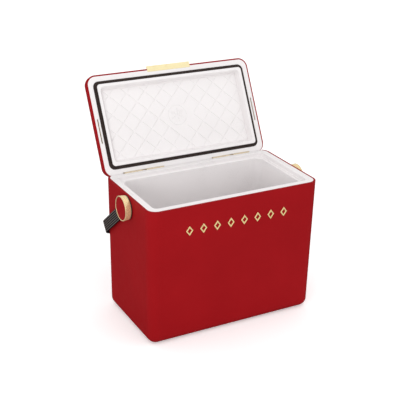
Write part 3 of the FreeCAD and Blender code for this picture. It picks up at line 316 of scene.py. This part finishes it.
# ------------------------------------------------------------------ materials
def red_plastic(name):
    """Moulded plastic with a fine satin grain."""
    m = Mat(name)
    broad = m.noise(scale=7.0, detail=3.0, rough=0.55)
    fine = m.noise(scale=1500.0, detail=3.0, rough=0.6)
    cloud = m.noise(scale=60.0, detail=4.0, rough=0.6)
    color = m.mix(m.remap(broad, source=(0.35, 0.65)), srgb(150, 16, 22), srgb(156, 18, 24))
    grain = m.remap(fine, source=(0.45, 0.75), target=(0.0, 0.22))
    color = m.mix(grain, color, srgb(166, 29, 35))
    rough = m.math("ADD", m.remap(cloud, target=(0.42, 0.50)),
                   m.remap(fine, target=(-0.04, 0.04)))
    normal = m.bump(fine, distance=0.00006, strength=0.35)
    normal = m.bump(broad, distance=0.0006, strength=0.06, normal=normal)
    return m.finish(color=color, rough=rough, normal=normal, spec=0.16, ior=1.22)


def white_plastic(name):
    """Glossy liner plastic, faintly uneven and speckled."""
    m = Mat(name)
    broad = m.noise(scale=9.0, detail=2.0)
    fine = m.noise(scale=900.0, detail=2.0)
    specks = m.noise(scale=420.0, detail=4.0, rough=0.7)
    color = m.mix(m.remap(broad), srgb(242, 238, 238), srgb(246, 242, 242))
    color = m.mix(m.remap(specks, source=(0.68, 0.8), target=(0.0, 0.22)),
                  color, srgb(230, 224, 221))
    rough = m.math("ADD", m.remap(broad, target=(0.26, 0.32)),
                   m.remap(specks, target=(-0.02, 0.04)))
    normal = m.bump(fine, distance=0.00004, strength=0.25)
    return m.finish(color=color, rough=rough, normal=normal, spec=0.35)


def turned_vector(m, scale=2600.0):
    """Texture place whose noise makes rings about the strap pivot."""
    split = m.node("ShaderNodeSeparateXYZ", {0: m.place})
    squares = []
    for axis, pivot in (("Y", STRAP_PIVOT[1]), ("Z", STRAP_PIVOT[2])):
        offset = m.math("SUBTRACT", split.outputs[axis], pivot * MM)
        squares.append(m.math("MULTIPLY", offset, offset))
    radius = m.math("SQRT", m.math("ADD", *squares))
    return m.node("ShaderNodeCombineXYZ", {
        0: m.math("MULTIPLY", radius, scale),
        1: m.math("MULTIPLY", split.outputs["X"], scale)}).outputs[0]


def brass(name, light, dark, rough, metal, lines=None):
    """Brushed brass with darker spots; lines is the brushing's scale, None is turned."""
    m = Mat(name)
    vector = m.stretched(lines) if lines else turned_vector(m)
    brush = m.noise(scale=1.0, detail=3.0, rough=0.6, vector=vector)
    patch = m.noise(scale=45.0, detail=4.0, rough=0.65)
    spot = srgb(dark[0] - 22, dark[1] - 34, dark[2] - 36)
    color = m.mix(m.remap(brush), srgb(*dark), srgb(*light))
    color = m.mix(m.remap(patch, source=(0.55, 0.8), target=(0.0, 0.45)), color, spot)
    roughness = m.math("ADD", m.remap(patch, target=(rough - 0.05, rough + 0.10)),
                       m.remap(brush, target=(-0.05, 0.07)))
    normal = m.bump(brush, distance=0.00002, strength=0.35)
    return m.finish(color=color, metal=metal, rough=roughness, normal=normal, aniso=0.3)


def zinc_steel(name):
    m = Mat(name)
    brush = m.noise(scale=1.0, detail=3.0, rough=0.6, vector=m.stretched((1800, 60, 60)))
    patch = m.noise(scale=80.0, detail=3.0, rough=0.6)
    color = m.mix(m.remap(brush), srgb(168, 168, 170), srgb(205, 205, 206))
    return m.finish(color=color, metal=1.0, rough=m.remap(patch, target=(0.24, 0.40)),
                    normal=m.bump(brush, distance=0.00002, strength=0.3))


def seal_rubber(name):
    """Matt dark rubber with a dusty sheen."""
    m = Mat(name)
    fine = m.noise(scale=1600.0, detail=3.0, rough=0.6)
    cloud = m.noise(scale=50.0, detail=4.0, rough=0.6)
    color = m.mix(m.remap(cloud), srgb(40, 28, 25), srgb(56, 43, 38))
    return m.finish(color=color, rough=m.remap(fine, target=(0.52, 0.70)), spec=0.26,
                    sheen=0.02, normal=m.bump(fine, distance=0.00007, strength=0.5))


RIB_PITCH, RIB_OFFSET = 4.8, 2.4           # strap ribs across its width, mm
THREAD_ALONG, THREAD_ACROSS = 1.15, 0.8    # weave periods, mm


def webbing(name):
    """Woven threads over moulded ribs, with painted shade in the valleys and painted light on
    the rib tops.
    """
    m = Mat(name)
    uv = m.node("ShaderNodeUVMap")
    uv.uv_map = "weave"
    split = m.node("ShaderNodeSeparateXYZ", {0: uv.outputs[0]})
    along, across = split.outputs["X"], split.outputs["Y"]

    def wave(operation, value, period):
        return m.math(operation, m.math("MULTIPLY", value, 2 * math.pi / period))

    weave = m.math("MULTIPLY", wave("SINE", along, THREAD_ALONG),
                   wave("SINE", across, THREAD_ACROSS))
    rib = wave("COSINE", m.math("ADD", across, RIB_OFFSET), RIB_PITCH)
    fuzz = m.noise(scale=2600.0, detail=3.0, rough=0.6)
    # painted shade and light: valleys between the ribs painted near-black, rib tops painted
    # light
    color = m.mix(m.remap(rib, source=(0.1, 0.95)), srgb(12, 10, 10), srgb(122, 113, 111))
    color = m.mix(m.remap(weave, source=(-1.0, 1.0), target=(0.0, 0.3)),
                  color, srgb(16, 14, 14))
    fuzz_on_ribs = m.math("MULTIPLY", m.remap(fuzz, source=(0.45, 0.75), target=(0.0, 0.2)),
                          m.remap(rib, source=(0.0, 0.8)))
    color = m.mix(fuzz_on_ribs, color, srgb(98, 91, 90))
    height = m.math("ADD", m.math("MULTIPLY", weave, 0.5), m.math("MULTIPLY", fuzz, 0.6))
    return m.finish(color=color, rough=m.remap(fuzz, target=(0.66, 0.86)), spec=0.1,
                    normal=m.bump(height, distance=0.00012, strength=0.7))


def black_nylon(name):
    m = Mat(name)
    fine = m.noise(scale=900.0, detail=3.0, rough=0.6)
    cloud = m.noise(scale=70.0, detail=3.0)
    color = m.mix(m.remap(cloud), srgb(24, 22, 23), srgb(38, 35, 35))
    return m.finish(color=color, rough=m.remap(fine, target=(0.42, 0.6)),
                    normal=m.bump(fine, distance=0.00005, strength=0.4))


def rigid_foam(name):
    m = Mat(name)
    voronoi = m.node("ShaderNodeTexVoronoi", {"Scale": 700.0, "Vector": m.place})
    cell = voronoi.outputs["Distance"]
    cloud = m.noise(scale=25.0, detail=4.0, rough=0.6)
    color = m.mix(m.remap(cloud), srgb(224, 207, 158), srgb(240, 226, 184))
    color = m.mix(m.remap(cell, source=(0.2, 0.8), target=(0.0, 0.4)),
                  color, srgb(196, 176, 122))
    return m.finish(color=color, rough=0.9,
                    normal=m.bump(cell, distance=0.0003, strength=0.6))


def pale_floor(name):
    m = Mat(name)
    rays = m.node("ShaderNodeLightPath").outputs
    tone = m.mix(m.remap(m.noise(scale=3.0, detail=3.0)),
                 srgb(249, 249, 249), srgb(252, 252, 252))
    # reflections see a darker floor, which keeps it out of the satin faces
    tone = m.mix(rays["Is Glossy Ray"], tone, srgb(96, 94, 94))
    return m.finish(color=tone, rough=0.95, spec=0.05, glow_color=(1.0, 1.0, 1.0, 1.0),
                    glow=m.math("MULTIPLY", rays["Is Camera Ray"], 0.30))


ALONG_X = (30, 2400, 2400)      # brushing scale for lines along X
MATS = {
    "red": red_plastic("red_moulded_plastic"),
    "white": white_plastic("white_liner_plastic"),
    "brass": brass("satin_brass_bar", light=(254, 242, 196), dark=(250, 232, 178),
                   rough=0.38, metal=0.3, lines=ALONG_X),
    "brass_badge": brass("satin_brass_ornament", light=(254, 236, 176), dark=(246, 222, 152),
                         rough=0.36, metal=0.3, lines=ALONG_X),
    "brass_turned": brass("turned_brass_hub", light=(252, 232, 184), dark=(236, 206, 150),
                          rough=0.24, metal=0.42),
    "brass_hinge": brass("hinge_brass", light=(238, 222, 196), dark=(214, 194, 164),
                         rough=0.34, metal=0.45, lines=(2400, 40, 40)),
    "steel": zinc_steel("zinc_steel"),
    "rubber": seal_rubber("seal_rubber"),
    "webbing": webbing("ribbed_webbing"),
    "black": black_nylon("black_nylon"),
    "foam": rigid_foam("rigid_foam"),
}

# CAD piece name pattern, material; the first match counts and the last takes the rest
CAD_MATERIALS = (
    ("outer_shell", "red"), ("lid_shell", "red"), ("hub_cap*", "red"),
    ("inner_liner", "white"), ("lid_liner", "white"),
    ("body_foam", "foam"), ("lid_foam", "foam"),
    ("lid_gasket", "rubber"), ("carry_strap", "webbing"),
    ("pull_bar", "brass"), ("front_lozenges", "brass_badge"),
    ("strap_hub*", "brass_turned"), ("strap_bush*", "brass_turned"),
    ("*leaf*", "brass_hinge"), ("hinge_pins*", "brass_hinge"),
    ("strap_retainer*", "black"), ("thrust_washer*", "black"),
    ("*", "steel"),
)


def dress(ob, material):
    ob.data.materials.clear()
    ob.data.materials.append(MATS[material])


def register(ob, material, rides, replaces=None):
    dress(ob, material)
    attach(ob, rides)
    if replaces:
        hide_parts(replaces)


# ------------------------------------------------------------------ quilted panel of the lid
QUILT_INSET = 33.8 + 1.15                     # lid edge to panel edge
QUILT_GRID = 0.84                             # mesh spacing
QUILT_FACE_Z = LID_Z + 9.5                    # relief hangs down from here, lid closed
QUILT_THICK = 0.6
LATTICE = 22.5                                # half the pitch of the arrowheads
ARROW_ARM, ARROW_SETBACK = 19.3, 3.2          # each arm along x and y; tip short of its point
EMBLEM_SITES = ((0, 0), (1, -1), (1, 1), (2, 0))      # lattice points left without arrowheads
EMBLEM_X, EMBLEM_Y = 1.5, -0.8
RING_RADIUS = 23.3
STAR_ARM, STAR_ARM_WIDTH = 16.5, 1.3
STAR_TWIGS, STAR_TWIG_WIDTH = ((8.0, 4.2), (12.2, 3.4)), 1.1      # (place on arm, length)
STAR_TWIG_DEG = 55


def smoothstep(low, high, value):
    t = np.clip((value - low) / (high - low), 0, 1)
    return t * t * (3 - 2 * t)


def segment_distance(x, y, ax, ay, bx, by):
    """Distance of each grid point from the segment a-b."""
    run_x, run_y = bx - ax, by - ay
    t = ((x - ax) * run_x + (y - ay) * run_y) / (run_x * run_x + run_y * run_y)
    t = np.clip(t, 0, 1)
    return np.hypot(x - ax - t * run_x, y - ay - t * run_y)


def arrow_tiles(x, y):
    """Height of the tiles between the arrowhead grooves, whose tips point to +X."""
    distance = np.full_like(x, 99.0)
    for k in range(-9, 11):
        for j in range(-5, 6):
            if (k + j) % 2 or (k, j) in EMBLEM_SITES:
                continue
            tip_x, tip_y = k * LATTICE - ARROW_SETBACK, j * LATTICE
            for side in (-1, 1):
                distance = np.minimum(distance, segment_distance(
                    x, y, tip_x, tip_y, tip_x - ARROW_ARM, tip_y + side * ARROW_ARM))
    tile = smoothstep(0.28, 1.15, distance)
    diagonal = math.pi / (2 * LATTICE)
    swell = np.abs(np.sin((x + y) * diagonal) * np.sin((x - y) * diagonal))
    return 0.10 + 1.05 * tile + 0.10 * swell * tile


def emblem_depth(x, y):
    """Depth of the emblem's grooves: a ring round a six-armed star."""
    x, y = x - EMBLEM_X, y - EMBLEM_Y
    ring = 1 - smoothstep(0.45, 1.2, np.abs(np.hypot(x, y) - RING_RADIUS))
    star = np.zeros_like(x)

    def stroke(ax, ay, bx, by, width):
        away = segment_distance(x, y, ax, ay, bx, by)
        return 1 - smoothstep(width * 0.5, width * 0.5 + 0.6, away)

    for k in range(6):
        a = math.radians(60 * k + 30)
        c, s = math.cos(a), math.sin(a)
        star = np.maximum(star, stroke(0, 0, STAR_ARM * c, STAR_ARM * s, STAR_ARM_WIDTH))
        for at, length in STAR_TWIGS:
            for turn in (-STAR_TWIG_DEG, STAR_TWIG_DEG):
                b = a + math.radians(turn)
                star = np.maximum(star, stroke(
                    at * c, at * s, at * c + length * math.cos(b),
                    at * s + length * math.sin(b), STAR_TWIG_WIDTH))
    return 0.95 * ring + 0.85 * star


def quilt():
    half_w, half_d = BODY_W / 2 - QUILT_INSET, LID_D / 2 - QUILT_INSET
    columns, rows = int(2 * half_w / QUILT_GRID) + 1, int(2 * half_d / QUILT_GRID) + 1
    x, y = np.meshgrid(np.linspace(-half_w, half_w, columns),
                       np.linspace(-half_d, half_d, rows))
    # the relief dies away to a thin flat edge
    edge, edge_width = 0.04, 1.6
    from_edge = np.minimum(half_w - np.abs(x), half_d - np.abs(y))
    relief = arrow_tiles(x, y) - emblem_depth(x, y)
    relief = edge + (relief - edge) * smoothstep(0.0, edge_width, from_edge)
    verts = np.stack([x.ravel(), (y + LID_CENTRE_Y).ravel(),
                      (QUILT_FACE_Z - relief).ravel()], 1)
    grid = np.arange(columns * rows).reshape(rows, columns)
    faces = np.stack([grid[:-1, :-1], grid[:-1, 1:], grid[1:, 1:], grid[1:, :-1]], -1)
    faces = faces.reshape(-1, 4).tolist()
    # side walls, and one face over the back
    rim = [*grid[0, :], *grid[1:, -1], *grid[-1, -2::-1], *grid[-2:0:-1, 0]]
    base, n = len(verts), len(rim)
    back = verts[rim]
    back[:, 2] = QUILT_FACE_Z + QUILT_THICK
    for i in range(n):
        j = (i + 1) % n
        faces.append((rim[i], rim[j], base + j, base + i))
    faces.append(tuple(range(base, base + n)))
    ob = add_mesh("lid_quilt_panel", lid_points(np.concatenate([verts, back])), faces,
                  sharp_deg=60)
    register(ob, "white", rides="lid")


# ------------------------------------------------------------------ gasket
# (inset from the lid edge, height above LID_Z, corner radius)
GASKET_SECTION = (
    (15.35, 2.9, 0.0), (15.35, -0.55, 0.5), (20.0, -0.55, 0.5), (20.85, -1.5, 0.5),
    (20.85, -4.85, 0.7), (22.3, -4.85, 0.7), (22.3, 2.9, 0.0),
)
# plan corner radius at each inset
GASKET_INSETS, GASKET_RADII = (15.35, 20.8, 22.35), (13.4, 9.5, 7.6)


def gasket():
    loops = []
    for inset, rise in rounded(GASKET_SECTION, steps=5):
        radius = float(np.interp(inset, GASKET_INSETS, GASKET_RADII))
        outline = round_rect(BODY_W - 2 * inset, LID_D - 2 * inset, radius,
                             centre_y=LID_CENTRE_Y, corner_points=12)
        loops.append([(x, y, LID_Z + rise) for x, y in outline])
    verts, faces = skin(loops)
    ob = add_mesh("gasket_seal", lid_points(verts), faces, sharp_deg=50)
    register(ob, "rubber", rides="lid", replaces="lid_gasket")


# ------------------------------------------------------------------ strap
STRAP_START = 9.0                           # arm starts this far from the pivot
STRAP_VALLEY, STRAP_RIB = 0.50, 0.98        # half thickness in the valleys; added on the ribs
STRAP_EDGE, STRAP_EDGE_HALF = 1.1, 0.28     # width of the rounded edge; least half thickness
ARM_STEPS, BEND_STEPS, CROSS_STEPS, WIDTH_STEPS = 60, 24, 80, 96
# pressed tab at each strap end: (axial, radius, corner radius)
STRAP_END_SECTION = ((-1.2, 8.15, 0.3), (-1.2, 14.3, 0.7), (1.2, 14.3, 0.7), (1.2, 8.15, 0.3))


def strap_path():
    """Stations of (x, along, tangent angle, length run), left pivot to right pivot."""
    path = []
    arm = STRAP_REACH - STRAP_BEND
    for i in range(ARM_STEPS + 1):
        along = STRAP_START + (arm - STRAP_START) * i / ARM_STEPS
        path.append((-STRAP_X, along, math.pi / 2, along))
    for i in range(1, BEND_STEPS + 1):
        turn = (math.pi / 2) * i / BEND_STEPS
        a = math.pi - turn
        path.append((-STRAP_X + STRAP_BEND + STRAP_BEND * math.cos(a),
                     arm + STRAP_BEND * math.sin(a), a - math.pi / 2, arm + STRAP_BEND * turn))
    half_cross = STRAP_X - STRAP_BEND
    half_length = path[-1][3] + half_cross
    for i in range(1, CROSS_STEPS + 1):
        x = -half_cross + half_cross * i / CROSS_STEPS
        path.append((x, STRAP_REACH, 0.0, half_length + x))
    return path + [(-x, along, -tangent, 2 * half_length - length)
                   for x, along, tangent, length in path[-2::-1]]


def strap_section():
    """Ribbed cross-section as (across, out)."""
    top = []
    for i in range(WIDTH_STEPS + 1):
        across = -STRAP_HALF_WIDTH + 2 * STRAP_HALF_WIDTH * i / WIDTH_STEPS
        edge = max(0.0, abs(across) - (STRAP_HALF_WIDTH - STRAP_EDGE)) / STRAP_EDGE
        rib = 0.5 + 0.5 * math.cos(2 * math.pi * (across + RIB_OFFSET) / RIB_PITCH)
        half = (STRAP_VALLEY + STRAP_RIB * rib ** 0.9) * math.sqrt(max(0.0, 1 - edge ** 2))
        top.append((across, max(half, STRAP_EDGE_HALF)))
    return top + [(across, -half) for across, half in top[::-1]]


def strap():
    section, path = strap_section(), strap_path()
    loops, uvs = [], []
    for x, along, tangent, length in path:
        out_x, out_along = -math.sin(tangent), math.cos(tangent)
        loops.append([(x + out_x * out, along + out_along * out, across)
                      for across, out in section])
        uvs += [(length, across) for across, _ in section]
    verts, faces = skin(loops, closed=False)
    faces += end_caps(len(section), len(path))
    ob = add_mesh("carry_strap_webbing", strap_points(verts), faces, sharp_deg=60)
    weave = ob.data.uv_layers.new(name="weave")      # mm along, mm across
    for loop in ob.data.loops:
        weave.data[loop.index].uv = uvs[loop.vertex_index]
    register(ob, "webbing", rides="strap", replaces="carry_strap")


def strap_ends():
    verts, faces = lathe(rounded(STRAP_END_SECTION, steps=4), steps=96)
    for side, sign in SIDES:
        placed = [(sign * STRAP_X + x, y, z) for x, y, z in verts]
        ob = add_mesh("strap_end_" + side, strap_points(placed), faces, sharp_deg=50)
        register(ob, "black", rides="strap")


# ------------------------------------------------------------------ hubs
# axial places are measured outward from the side of the body rim
# brass cup: (axial, radius, corner radius)
HUB_CUP = (
    (2.0, 8.05, 0.2), (2.0, 26.9, 1.0), (15.95, 28.0, 0.9),
    (15.95, 25.65, 0.55), (4.0, 25.65, 0.4), (4.0, 8.05, 0.2),
)
# slot for the strap through the cup wall: ranges (axial, along, across)
HUB_SLOT = ((3.95, 7.25), (15, 31), (-14.65, 14.65))
BOX_FACES = ((0, 1, 3, 2), (4, 6, 7, 5), (0, 4, 5, 1), (2, 3, 7, 6), (0, 2, 6, 4), (1, 5, 7, 3))
# red disc in the cup: edge points (axial, radius), then a shallow dome
DISC_EDGE = (
    (12.5, 0.0), (12.5, 24.9), (12.75, 25.35), (13.1, 25.52), (14.3, 25.52),
    (14.75, 25.4), (15.05, 25.05), (15.2, 24.5),
)
DOME_BASE, DOME_RISE, DOME_RADIUS = 15.2, 0.42, 24.3
DOME_STATIONS = (23.3, 20, 17, 13, 9, 5, 2, 0)


def hubs():
    dome = [(DOME_BASE + DOME_RISE * (1 - (r / DOME_RADIUS) ** 2), r) for r in DOME_STATIONS]
    cup_verts, cup_faces = lathe(rounded(HUB_CUP, steps=6), steps=160)
    disc_verts, disc_faces = lathe([*DISC_EDGE, *dome], steps=128)
    slot = [(x, y, z) for x in HUB_SLOT[0] for y in HUB_SLOT[1] for z in HUB_SLOT[2]]
    for side, sign in SIDES:
        def place(points):
            return strap_points([(sign * (BODY_W / 2 + x), y, z) for x, y, z in points])

        ring = add_mesh("hub_ring_" + side, place(cup_verts), cup_faces, sharp_deg=30)
        cut_with(ring, add_mesh("tool", place(slot), BOX_FACES), sharp_deg=30)
        register(ring, "brass_turned", rides="strap",
                 replaces="strap_hub_" + side)
        disc = add_mesh("hub_disc_" + side, place(disc_verts), disc_faces, sharp_deg=40)
        register(disc, "red", rides="strap", replaces="hub_cap_" + side)


# ------------------------------------------------------------------ pull bar
BAR_HALF_LENGTH = 55.5
# L section: (y from the lid's front edge, height above LID_Z)
BAR_SECTION = ((-6.4, 0.0), (7.3, 0.0), (7.3, 1.2), (-0.05, 1.2), (-0.05, 3.0), (-6.4, 3.0))


def pull_bar():
    loops = [[(x, LID_FRONT + y, LID_Z + z) for y, z in BAR_SECTION]
             for x in (-BAR_HALF_LENGTH, BAR_HALF_LENGTH)]
    verts, sides = skin(loops, closed=False)
    faces = end_caps(len(BAR_SECTION), len(loops)) + sides
    ob = add_mesh("pull_bar_grip", lid_points(verts), faces)
    bevel(ob, width=0.4, segments=4)
    register(ob, "brass", rides="lid", replaces="pull_bar")


# ------------------------------------------------------------------ front lozenges
LOZENGES, LOZENGE_PITCH = 8, 33.5
LOZENGE_HALF_W, LOZENGE_HALF_H = 8.25, 11.25
LOZENGE_LINE_X = 2.6 * 1.24                  # width of the slanted line, taken along x
LOZENGE_LINE_Z = LOZENGE_LINE_X * 1.364      # and along z
LOZENGE_SINK = 0.05                          # wall clearance, toward the front


def diamond(half_w, half_h):
    return [(-half_w, 0), (0, -half_h), (half_w, 0), (0, half_h)]


def shifted(loop, toward, amount):
    """Moves each corner of a loop by amount toward its partner's corner."""
    moved = []
    for (ax, az), (bx, bz) in zip(loop, toward):
        share = amount / math.hypot(bx - ax, bz - az)
        moved.append((ax + (bx - ax) * share, az + (bz - az) * share))
    return moved


def lozenges():
    """A row of open lozenges on the tapered front wall."""
    low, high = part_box("front_lozenges")
    centre_z = (low.z + high.z) / 2 / MM
    wall_y = -(BODY_D / 2 - (BODY_TOP - centre_z) * WALL_TAPER) - LOZENGE_SINK
    lean = math.atan(WALL_TAPER)
    c, s = math.cos(lean), math.sin(lean)
    outer = diamond(LOZENGE_HALF_W, LOZENGE_HALF_H)
    inner = diamond(LOZENGE_HALF_W - LOZENGE_LINE_X, LOZENGE_HALF_H - LOZENGE_LINE_Z)
    # (loop, height off the wall), with softened top edges
    rings = (
        (outer, 0.0), (outer, 1.15),
        (shifted(outer, inner, 0.18), 1.42), (shifted(outer, inner, 0.5), 1.6),
        (shifted(inner, outer, 0.5), 1.6), (shifted(inner, outer, 0.18), 1.42),
        (inner, 1.15), (inner, 0.0),
    )
    verts, faces = [], []
    for i in range(LOZENGES):
        centre_x = (i - (LOZENGES - 1) / 2) * LOZENGE_PITCH
        ring_verts, ring_faces = skin([
            [(centre_x + x, wall_y - out * c - z * s, centre_z + z * c + out * s)
             for x, z in loop] for loop, out in rings])
        faces += [[len(verts) + v for v in face] for face in ring_faces]
        verts += ring_verts
    ob = add_mesh("lozenge_row", np.array(verts) * MM, faces, sharp_deg=20)
    register(ob, "brass_badge", rides="box", replaces="front_lozenges")


# ------------------------------------------------------------------ floor, light, camera
def add_floor(half_size=6, drop=0.0004):
    """Floor square, in metres, a hair below z = 0."""
    corners = [(sx * half_size, sy * half_size, 0)
               for sx, sy in ((-1, -1), (1, -1), (1, 1), (-1, 1))]
    floor = add_mesh("floor", corners, [(0, 1, 2, 3)])
    floor.data.materials.append(pale_floor("pale_floor"))
    floor.location.z = -drop


def set_world(on_object=0.88, on_camera=1.0):
    """White surroundings, brighter to the camera than as light on the object."""
    world = bpy.data.worlds.new("studio")
    bpy.context.scene.world = world
    world.use_nodes = True
    nodes, links = world.node_tree.nodes, world.node_tree.links
    strength = nodes.new("ShaderNodeMix")
    strength.data_type = "FLOAT"
    strength.inputs[2].default_value = on_object
    strength.inputs[3].default_value = on_camera
    rays = nodes.new("ShaderNodeLightPath")
    links.new(rays.outputs["Is Camera Ray"], strength.inputs[0])
    sky = nodes["Background"]
    sky.inputs["Color"].default_value = (1.0, 1.0, 1.0, 1.0)
    links.new(strength.outputs[0], sky.inputs["Strength"])


def area_light(name, place, target, size, power):
    """Rectangular light aimed at target; metres and watts."""
    light = bpy.data.lights.new(name, "AREA")
    light.shape = "RECTANGLE"
    light.size, light.size_y = size
    light.energy = power
    ob = bpy.data.objects.new(name, light)
    bpy.context.scene.collection.objects.link(ob)
    ob.location = place
    aim = Vector(target) - Vector(place)
    ob.rotation_euler = aim.to_track_quat("-Z", "Y").to_euler()


def add_camera(place_mm, yaw_deg, pitch_deg, roll_deg, lens):
    """Camera facing +Y at zero yaw; positive yaw turns left, positive pitch looks up."""
    data = bpy.data.cameras.new("camera")
    data.sensor_width = 36.0
    data.lens = lens
    data.clip_start = 0.05
    camera = bpy.data.objects.new("camera", data)
    bpy.context.scene.collection.objects.link(camera)
    yaw, pitch, roll = (math.radians(a) for a in (yaw_deg, pitch_deg, roll_deg))
    forward = Vector((-math.sin(yaw) * math.cos(pitch), math.cos(yaw) * math.cos(pitch),
                      math.sin(pitch)))
    level = Vector((math.cos(yaw), math.sin(yaw), 0))
    upright = level.cross(forward)
    right = level * math.cos(roll) + upright * math.sin(roll)
    up = -level * math.sin(roll) + upright * math.cos(roll)
    turn = Matrix((right, up, -forward)).transposed().to_4x4()
    camera.matrix_world = Matrix.Translation(Vector(place_mm) * MM) @ turn
    bpy.context.scene.camera = camera


for name, ob in NODES.items():
    dress(ob, next(kind for pattern, kind in CAD_MATERIALS if fnmatchcase(name, pattern)))

quilt()
gasket()
strap()
strap_ends()
hubs()
pull_bar()
lozenges()

add_floor()
set_world()
area_light("key", place=(-1.6, -1.7, 0.9), target=(0, 0, 0.35), size=(0.7, 0.7), power=10.0)
area_light("top", place=(0.2, -0.2, 2.2), target=(0, 0, 0.3), size=(1.6, 1.2), power=2.0)
area_light("fill", place=(1.8, -1.2, 0.9), target=(0, 0, 0.2), size=(1.0, 1.4), power=2.0)
add_camera(place_mm=(-951.93, -1691.6, 1096.12), yaw_deg=-28.6, pitch_deg=-23.17,
           roll_deg=1.17, lens=84.0528)
view = bpy.context.scene.view_settings
view.view_transform = "Standard"
view.look = "None"
